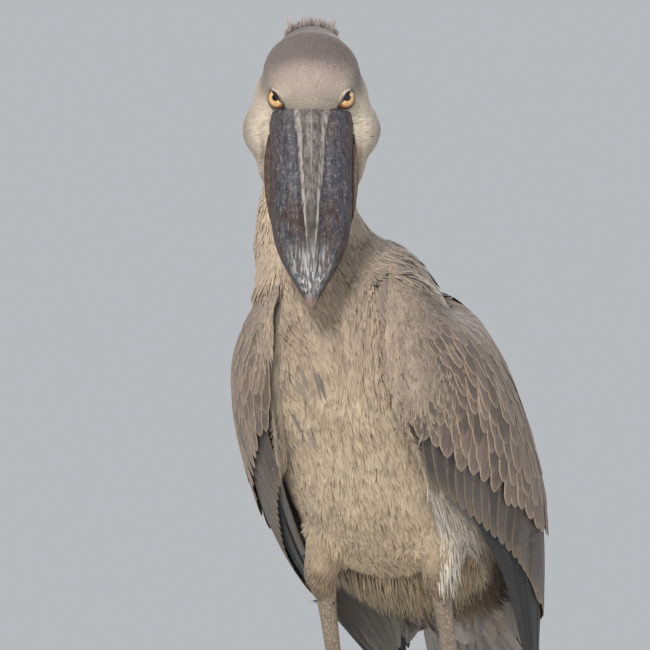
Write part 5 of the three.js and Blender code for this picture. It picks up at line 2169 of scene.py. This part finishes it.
@dataclass
class Eye:
    """One eye with its lids: the brow's straight edge slants down to the bill and cuts across the iris."""

    side: Side
    opening: float = math.radians(70)
    iris_edge: float = math.radians(67)
    gaze_in: float = math.radians(10)
    brow_slope: float = math.radians(52)
    brow_cut: float = 0.13

    def axes(self, turned_in: float = 0.0) -> Array:
        """Rows: the eye's outward axis, its across axis and its down axis, in the head's frame."""
        angle = EYE_OUTWARD - turned_in
        facing = np.array([self.side.value * math.sin(angle), 0.06, math.cos(angle)])
        facing = facing / np.linalg.norm(facing)
        outer = np.array([self.side.value * math.cos(angle), 0.0, -math.sin(angle)])
        down = np.cross(facing, outer) * self.side.value
        down = down if down[1] > 0 else -down
        return np.array([facing, outer, down])

    def ball_grid(self, polar: Array, turn: Array, radius: Array, turned_in: float = 0.0) -> Array:
        """Places on the eyeball: polar angle from its axis, turn from the outer side towards the lower."""
        facing, outer, down = self.axes(turned_in)
        polar, turn, radius = np.broadcast_arrays(polar, turn, radius)
        way = (
            np.cos(polar)[..., None] * facing
            + (np.sin(polar) * np.cos(turn))[..., None] * outer
            + (np.sin(polar) * np.sin(turn))[..., None] * down
        )
        local = way * radius[..., None] + np.array([self.side.value * EYE_SPREAD, 0.0, 0.0])
        return head_place(local[..., 0], local[..., 1], local[..., 2])

    def build(self) -> None:
        """Makes the eyeball, with a low bulge of the cornea, and the lids."""
        name = self.side.name.lower()
        polar = np.linspace(0.001, math.pi - 0.001, 64)[:, None]
        turn = np.linspace(0, 2 * math.pi, 72, endpoint=False)[None, :]
        if self.side is Side.RIGHT:
            turn = turn[:, ::-1]
        bulge = EYE_RADIUS + 0.5 * smooth(polar, 0.9, 0.2)
        ball = capped_tube(self.ball_grid(polar, turn, bulge, self.gaze_in))
        iris = np.broadcast_to(np.sin(np.minimum(polar, math.pi / 2)) / math.sin(self.iris_edge), (64, 72))
        ball.values = {
            "iris": np.concatenate([iris.ravel(), [0.0, 1.5]]),
            "ray": np.concatenate(
                [np.broadcast_to(np.abs((turn / math.pi) % 2 - 1), (64, 72)).ravel(), [0.0, 0.0]]
            ),
        }
        made = build_object(f"eyeball_{name}", ball, EyeFinish().build(), "eye")
        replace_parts(made, f"eye_{name}")
        self.build_lids(name)

    def build_lids(self, name: str) -> None:
        """Makes the lids: a ring on the ball from the opening's edge back into the feathers.

        The opening is the iris's circle, cut by a straight line that slopes down towards the bill. The lid
        rises from the ball at its rim, more under the brow.

        Args:
            name: The side's name for the piece.
        """
        turn = np.linspace(0, 2 * math.pi, 120, endpoint=False)[None, :]
        if self.side is Side.RIGHT:
            turn = turn[:, ::-1]
        brow = math.pi + (math.pi / 2 - self.brow_slope)
        lean = np.cos(turn - brow)
        cut = np.arcsin(np.clip(self.brow_cut / np.maximum(lean, 1e-3), 0, 1))
        edge = np.where(lean > 0, np.minimum(cut, self.opening), self.opening)
        edge = np.maximum(edge, 0.1)
        share = np.linspace(0, 1, 26)[:, None]
        polar = edge + (1.85 - edge) * share**1.6
        under_brow = smooth(lean, 0.0, 0.5)
        far = (polar - edge) * EYE_RADIUS
        rise = (
            0.35 + 0.7 * smooth(far, 0.0, 1.4)
            + under_brow * 1.9 * smooth(far, 0.2, 4.0) * smooth(far, 22.0, 7.0)
        )
        rise = rise - 3.6 * smooth(far, 3.0, 12.0) * (1 - under_brow)
        grid = self.ball_grid(polar, turn, EYE_RADIUS + rise)
        inner = self.ball_grid(edge, turn, EYE_RADIUS - 1.0 + 0 * edge)
        rings = np.concatenate([inner, grid])
        sheet = Sheet(rings.reshape(-1, 3), grid_quads(len(rings), rings.shape[1], True))
        # The dark rim is painted wider under the brow: the rim's own dark skin, plus painted shade cast by
        # the brow.
        rim_and_brow_shade_width = 2.3 + 2.8 * under_brow
        rim = np.concatenate([np.ones_like(far[:1]), smooth(far / rim_and_brow_shade_width, 1.1, 0.5)])
        lower = smooth(lean, 0.15, -0.3) * smooth(far, 1.2, 1.9) * smooth(far, 6.0, 3.0)
        lore = smooth(np.cos(turn - 2.55), 0.5, 0.9) * smooth(far, 10.0, 3.5)
        white = np.concatenate([np.zeros_like(far[:1]), lower * (1 - lore)])
        dark = np.concatenate([np.zeros_like(far[:1]), lore])
        sheet.values = {"rim": rim.ravel(), "white": white.ravel(), "dark": dark.ravel()}
        local = head_local(sheet.points)
        places = np.stack([np.abs(local[:, 0]), local[:, 1], local[:, 2]], axis=1)
        sheet.colours = {"plume": blend_marks(HEAD_MARKS, places)}
        made = build_object(f"lids_{name}", sheet, LidFinish().build(), "head_feathers")
        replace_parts(made, "head")
        self.grow_brow(name, grid, far, under_brow, lore)

    def grow_brow(self, name: str, grid: Array, far: Array, under_brow: Array, lore: Array) -> None:
        """Grows short feathers on the lids' outer part, up to the brow's edge, so no bare mound shows.

        Args:
            name: The side's name for the piece.
            grid: The lids' outer grid.
            far: Distance of its points from the opening.
            under_brow: How much each column lies under the brow.
            lore: Where the bare lores are.
        """
        draw = np.random.default_rng(23 + self.side.value)
        many = 7000
        row = draw.random(many) * (grid.shape[0] - 2)
        column = draw.integers(0, grid.shape[1], many)
        i = row.astype(int)
        f = (row - i)[:, None]
        after = (column + 1) % grid.shape[1]
        points = grid[i, column] * (1 - f) + grid[i + 1, column] * f
        outward = unit(np.cross(grid[i + 1, column] - grid[i, column], grid[i, after] - grid[i, column]))
        centre = head_place(self.side.value * EYE_SPREAD, 0.0, 0.0)
        outward = outward * np.sign((outward * (points - centre)).sum(axis=1, keepdims=True))
        apart = far[i, np.broadcast_to(column, i.shape)] + 0.0
        brow = np.broadcast_to(under_brow, far.shape)[i, column]
        bare = np.broadcast_to(lore, far.shape)[i, column]
        start = 2.7 + 1.2 * brow + 3.0 * bare
        keep = (apart > start) & (draw.random(many) < np.clip(apart / 9, 0.3, 1))
        points, outward, apart = points[keep], outward[keep], apart[keep]
        local = head_local(points)
        away = unit(local - np.array([self.side.value * EYE_SPREAD, 0.0, 0.0]))
        lie = (away * 0.7 + np.array([self.side.value * 0.1, -0.55, -0.5])) @ HEAD_AXES
        lie = lie + draw.normal(0, 0.09, lie.shape)
        lie = square_to(lie, outward)
        places = np.stack([np.abs(local[:, 0]), local[:, 1], local[:, 2]], axis=1)
        spots = np.stack([0.5 + local[:, 0] / 160, 0.5 + local[:, 1] / 160], axis=1)
        size = smooth(apart, 0.0, 9.0)
        sheet = tufts(
            points - outward * 0.2, outward, lie, 2.6 + 3.2 * size, 0.8 + 0.5 * size,
            np.radians(draw.uniform(8, 20, len(points))), draw.random(len(points)),
            blend_marks(HEAD_MARKS, places),
            spots, 1,
        )
        made = build_object(
            f"brow_down_{name}", sheet, TuftFinish(f"brow_tone_{name}", 0.2, 0.1, 0.2).build(),
            "head_feathers"
        )
        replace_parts(made, "head")


# Legs


@dataclass
class Leg:
    """One bare leg with its long toes and claws."""

    side: Side
    skin: LegFinish = LegFinish("leg_scales", srgb(152, 138, 122), srgb(84, 72, 62))
    foot_skin: LegFinish = LegFinish("toe_scales", srgb(128, 116, 104), srgb(66, 58, 52))
    horn: HornFinish = HornFinish("claw_horn", srgb(40, 36, 34))

    def shank(self) -> Sheet:
        """From the knee's feathers to the heel."""
        low, heel = joint("shank", self.side), joint("heel", self.side)
        points = [joint("knee", self.side), low, low + (heel - low) * 0.8, heel]
        path, radii = limb_path(points, [18, SHANK_RADIUS + 2, SHANK_RADIUS, HEEL_RADIUS * 0.86], 90)
        return capped_tube(tube(path, radii, radii, 36))

    def tarsus(self) -> Sheet:
        """From the heel's knob down to the sole, flattened at the floor."""
        heel, foot = joint("heel", self.side), joint("foot", self.side)
        on = lambda share: heel + (foot - heel) * share
        low, sole = foot.copy(), foot.copy()
        low[2], sole[2] = 18.0, -3.0
        points = [heel + place(0, -4, 13), heel + place(0, -2, -6), on(0.2), on(0.5), on(0.8), low, sole]
        sizes = [6, HEEL_RADIUS, TARSUS_RADIUS + 1.2, TARSUS_RADIUS, TARSUS_RADIUS + 0.6, 13, 15]
        path, radii = limb_path(points, sizes, 140)
        sheet = capped_tube(tube(path, radii, radii, 36))
        sheet.points[:, 2] = np.maximum(sheet.points[:, 2], 0.0)
        return sheet

    def toe_way(self, name: str) -> Array:
        """The direction a toe points in."""
        angle = math.radians(self.side.value * (TOES[name][0] + TOE_OUT))
        return place(math.sin(angle), math.cos(angle), 0)

    def toe(self, name: str) -> Sheet:
        """A toe along the floor: pads between its joints swell by a cosine, and scutes ridge its top."""
        _, length, radius, joints = TOES[name]
        way = self.toe_way(name)
        start = joint("foot", self.side) * np.array([1, 1, 0]) + way * 4
        share = np.linspace(0, 1, 110)
        path = start + way * (length * share)[:, None]
        path[:, 2] = radius * 0.86 * (1 - 0.32 * share) + 7 * (1 - share) ** 6 - 1
        thick = radius * (1 - 0.34 * share) * (1 + 0.1 * np.cos(2 * math.pi * joints * share))
        thick = thick * np.sqrt(np.clip((1.012 - share) / 0.05, 0.02, 1))
        rings = tube(path, thick, thick, 32)
        top = smooth(rings[..., 2] - path[:, None, 2], 0.0, 4.0)
        ridge = 0.45 * np.abs(np.sin(share * length / 4.2 * math.pi))[:, None] * top
        rings[..., 2] = np.maximum(rings[..., 2] + ridge, 0.0)
        return capped_tube(rings)

    def claw(self, name: str) -> Sheet:
        """A claw: a tapering curve down to the floor."""
        _, length, radius, _ = TOES[name]
        way = self.toe_way(name)
        start = joint("foot", self.side) * np.array([1, 1, 0]) + way * (length - 5)
        share = np.linspace(0, 1, 40)
        path = start + way * ((CLAW_LENGTH + 3) * share)[:, None]
        path[:, 2] = 6.0 - 4.9 * share**1.7
        taper = np.maximum(1 - share, 0.0) ** 0.8
        rings = tube(path, radius * 0.5 * taper + 0.3, radius * 0.52 * taper + 0.3, 24)
        rings[..., 2] = np.maximum(rings[..., 2], 0.15)
        return capped_tube(rings)

    def build(self) -> None:
        """Makes shank, tarsus, toes and claws over their solids."""
        side = self.side.name.lower()
        skin, foot_skin, horn = self.skin.build(), self.foot_skin.build(), self.horn.build()
        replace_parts(build_object(f"shank_skin_{side}", self.shank(), skin, "leg_skin"), f"shank_{side}")
        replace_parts(build_object(f"tarsus_skin_{side}", self.tarsus(), skin, "leg_skin"), f"tarsus_{side}")
        for name in TOES:
            toe = build_object(f"toe_skin_{side}_{name}", self.toe(name), foot_skin, "leg_skin")
            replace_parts(toe, f"toe_{side}_{name}")
            claw = build_object(f"claw_horn_{side}_{name}", self.claw(name), horn, "claw")
            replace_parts(claw, f"claw_{side}_{name}")


# Larger feathers of the body


@dataclass(frozen=True)
class Strands:
    """Loose strands of one kind: number, millimetres long and wide, pull, colour, and tips paler or, below
    zero, darker as painted shade.
    """

    name: str
    count: int
    length: float
    width: float
    way: tuple[float, float, float]
    colour: tuple[int, int, int]
    tip_light: float = 0.1


# From the flank to the rump, in the order of the areas in BodyFeathers.build.
LOOSE_STRANDS = (
    Strands("flank_wisps", 4000, 33.0, 2.0, (0.1, 0, -0.5), (206, 196, 183)),
    Strands("belly_fringe", 4500, 36.0, 2.2, (0, -0.2, -0.9), (164, 146, 122)),
    # The vent fringe's dark brown and darker tips are partly the plumage's colour and partly painted shade
    # under the belly.
    Strands("vent_fringe", 6500, 44.0, 2.0, (0, 0, -0.9), (118, 104, 86), -0.35),
    Strands("rump_fluff", 4200, 46.0, 2.4, (0.1, -0.3, -0.9), (136, 120, 99)),
)


@dataclass
class BodyFeathers:
    """The larger feathers on the body: mantle, breast plumes, loose strands and the vent's coverts."""

    plumage: Plumage
    mantle_count: int = 1050
    plume_count: int = 10
    vent_count: int = 70

    @property
    def body(self) -> Array:
        """The skin's triangles that are on neither head nor thighs."""
        return ~self.plumage.owner["head"] & ~self.plumage.owner["thigh"]

    def scatter(self, mask: Array, count: int, stray: float) -> tuple[Array, Array, Array, dict[str, Array]]:
        """Roots, normals and lies of feathers over part of the skin.

        Args:
            mask: Skin triangles to grow on.
            count: Number of feathers.
            stray: Disorder.

        Returns:
            Roots, normals, lies and what owner_of says.
        """
        points, normals = self.plumage.roots(mask, count)
        owner = self.plumage.owner_of(points, self.plumage.tube_form)
        return points, normals, self.plumage.lies(owner, normals, stray), owner

    def mantle(self) -> None:
        """Broad pale-edged feathers over the back, larger downwards."""
        p = self.plumage
        o = p.owner
        mask = self.body & (o["row"] > 5.1) & (o["row"] < 10.2) & (o["front"] < -0.4)
        mask = mask & ~((p.middle @ BODY_LEFT > 50) & (p.middle[:, 2] > 750))
        many = self.mantle_count
        points, normals, lie, owner = self.scatter(mask, many, 0.07)
        draw = p.draw
        size = 0.4 + 0.8 * smooth(owner["row"], 4.4, 7.5)
        sheet = body_vanes(
            points + normals * 1.5, normals, lie, 46 * size * draw.uniform(0.85, 1.15, many), 25 * size,
            np.radians(draw.uniform(3, 7, many)), draw.random(many), p.colours(points, owner), 3.0, 0.04, 3,
            7,
        )
        look = VaneFinish(
            "mantle", srgb(116, 107, 103), srgb(160, 148, 136), srgb(74, 66, 62), 0.5, 0.6, 0.85, 0.2
        )
        build_object("mantle_feathers", sheet, look.build(), "body_feathers")

    def breast_plumes(self) -> None:
        """A few longer lance-shaped plumes that hang over the breast, darker inside their pale edges."""
        p = self.plumage
        o = p.owner
        mask = self.body & (o["row"] > 6.2) & (o["row"] < 7.0) & (o["front"] > 0.8) & (o["side"] < -0.05)
        many = self.plume_count
        points, normals, lie, owner = self.scatter(mask, many, 0.08)
        draw = p.draw
        sheet = body_vanes(
            points + normals * 2.5, normals, lie, draw.uniform(20, 46, many), draw.uniform(3.0, 5.5, many),
            np.radians(draw.uniform(10, 14, many)), draw.random(many), p.colours(points, owner) * 0.85,
            1.4, 0.05, 5, 10,
        )
        look = VaneFinish(
            "breast_plume", srgb(118, 113, 112), srgb(196, 182, 160), srgb(92, 86, 84), 0.8, 0.4, 0.3
        )
        build_object("breast_plumes", sheet, look.build(), "body_feathers")

    def strands(self, kind: Strands, mask: Array) -> None:
        """Loose strands that hang in one direction.

        Args:
            kind: Their kind.
            mask: Skin triangles to grow on.
        """
        p = self.plumage
        many = kind.count
        points, normals, lie, owner = self.scatter(mask, many, 0.12)
        lie = unit(lie + np.array(kind.way) + p.draw.normal(0, 0.1, lie.shape))
        facing = square_to(normals, lie)
        sheet = tufts(
            points + normals, facing, lie, kind.length * p.draw.uniform(0.5, 1.2, many),
            kind.width * p.draw.uniform(0.7, 1.3, many), np.radians(p.draw.uniform(2, 12, many)),
            p.draw.random(many), np.tile(srgb(*kind.colour)[:3], (many, 1)), p.unwrap(points, owner), 1,
        )
        build_object(
            kind.name, sheet, TuftFinish(kind.name + "_tone", 0.3, kind.tip_light).build(), "body_feathers"
        )

    def build(self) -> None:
        """Makes all of them."""
        self.mantle()
        self.breast_plumes()
        o = self.plumage.owner
        height = self.plumage.middle[:, 2]
        left = self.plumage.middle @ BODY_LEFT
        body = self.body
        areas = (
            (height < 596) & (height > 486) & (left > 76) & (o["front"] > -0.6) & ~o["head"],
            body & (o["row"] > 8.7) & (o["row"] < 9.7) & (o["front"] > 0.3),
            body & (o["row"] > 9.2) & (o["front"] > 0.0),
            body & (o["row"] > 9.9) & (left > 22),
        )
        for kind, area in zip(LOOSE_STRANDS, areas):
            self.strands(kind, area)
        self.vent_coverts()

    def vent_coverts(self) -> None:
        """Long soft feathers that hang from the rump's underside towards the tail."""
        p = self.plumage
        o = p.owner
        mask = self.body & (o["row"] > 10.0) & (o["front"] > -0.1)
        many = self.vent_count
        points, normals, lie, _ = self.scatter(mask, many, 0.1)
        lie = unit(lie + np.array([0, 0, -0.9]))
        facing = square_to(normals, lie)
        draw = p.draw
        sheet = body_vanes(
            points, facing, lie, draw.uniform(62, 96, many), draw.uniform(24, 34, many),
            np.radians(draw.uniform(0, 5, many)), draw.random(many),
            np.tile(srgb(156, 150, 145)[:3], (many, 1)),
            2.6, 0.04, 7, 9,
        )
        look = VaneFinish(
            "vent_coverts", srgb(140, 134, 130), srgb(160, 152, 146), srgb(110, 104, 100), 0.4, 0.5, 0.5
        )
        build_object("vent_coverts", sheet, look.build(), "body_feathers")


# Studio


@dataclass
class Studio:
    """Pale floor, soft light from the upper left, and a long lens from the photograph's side."""

    distance: float = 14.0
    frame_width: float = 0.744
    aim: tuple[float, float, float] = (-66.4, -100.0, 773.0)

    def floor(self) -> None:
        """A wide pale floor."""
        edge = 9000.0
        points = (
            np.array([[-edge, -edge, 0], [edge, -edge, 0], [edge, edge, 0], [-edge, edge, 0]])
            - SHIFT * np.array([1, 1, 0])
        )
        look, n, shader = new_material("studio_floor", 0.8)
        tint = n.mix(n.noise(3.0), srgb(214, 212, 208), srgb(222, 220, 216))
        n.tree.links.new(tint, shader.inputs["Base Color"])
        ground = build_object("floor", Sheet(points, np.array([[0, 1, 2, 3]])), look, None)
        ground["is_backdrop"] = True

    def light(
        self, name: str, place_at: tuple[float, float, float], size: float, power: float,
        tint: tuple[float, float, float]
    ) -> None:
        """One soft lamp aimed at the bird's breast.

        Args:
            name: The lamp's name.
            place_at: Its place in metres.
            size: Its width in metres.
            power: Its power in watts.
            tint: Its colour.
        """
        lamp = bpy.data.lights.new(name, "AREA")
        lamp.size = size
        lamp.energy = power
        lamp.color = tint
        made = bpy.data.objects.new(name, lamp)
        made.location = place_at
        aim = bpy.data.objects.new(name + "_aim", None).location
        aim = (SHIFT + np.array([0.0, -60.0, 700.0])) * MILLIMETRE
        way = aim - np.array(place_at)
        made.rotation_euler = look_along(way)
        bpy.context.scene.collection.objects.link(made)

    def camera(self) -> None:
        """The camera, level with the photograph's middle."""
        data = bpy.data.cameras.new("camera")
        data.sensor_width = 36.0
        data.lens = 36.0 * self.distance / self.frame_width
        data.clip_end = 200.0
        made = bpy.data.objects.new("camera", data)
        aim = (np.array(self.aim) + SHIFT) * MILLIMETRE
        made.location = tuple(aim - np.array([0.0, self.distance, 0.0]))
        made.rotation_euler = (math.pi / 2, 0.0, 0.0)
        bpy.context.scene.collection.objects.link(made)
        bpy.context.scene.camera = made

    def build(self) -> None:
        """Makes the studio."""
        self.floor()
        self.camera()
        self.light("key", (-1.3, -3.6, 3.3), 1.2, 150.0, (1.0, 0.96, 0.9))
        self.light("fill", (3.0, -3.4, 1.4), 3.0, 24.0, (0.92, 0.96, 1.0))
        self.light("rim", (1.2, 3.0, 2.8), 2.0, 50.0, (1.0, 1.0, 1.0))
        world = bpy.data.worlds.new("studio_air")
        world.use_nodes = True
        world.node_tree.nodes["Background"].inputs["Color"].default_value = (0.86, 0.89, 0.93, 1.0)
        world.node_tree.nodes["Background"].inputs["Strength"].default_value = 0.55
        bpy.context.scene.world = world
        bpy.context.scene.view_settings.view_transform = "Standard"


def look_along(way: Array) -> tuple[float, float, float]:
    """Turns that point a lamp's or camera's -Z along a direction, with its top up."""
    flat = math.hypot(way[0], way[1])
    return (math.pi / 2 + math.atan2(way[2], flat), 0.0, math.atan2(way[1], way[0]) - math.pi / 2)


def corners(box: tuple) -> list[list[float]]:
    """A box's two corners as plain lists."""
    return [list(corner) for corner in box]


def main() -> None:
    """Builds the bird piece by piece."""
    logging.basicConfig(level=logging.INFO, format="%(name)s: %(message)s", stream=sys.stdout)
    cad_box = corners(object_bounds())
    tube_form = BodyTube()
    _, skin = Skin().build(tube_form)
    plumage = Plumage(skin, tube_form)
    for region in Region:
        plumage.grow(region)
    BodyFeathers(plumage).build()
    for side in Side:
        Wing(side).build()
        Eye(side).build()
        Leg(side).build()
    Tail().build()
    Crest().build()
    Bill().build()
    Studio().build()
    {"cad": cad_box, "visual": corners(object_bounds())}


if __name__ == "__main__":
    main()
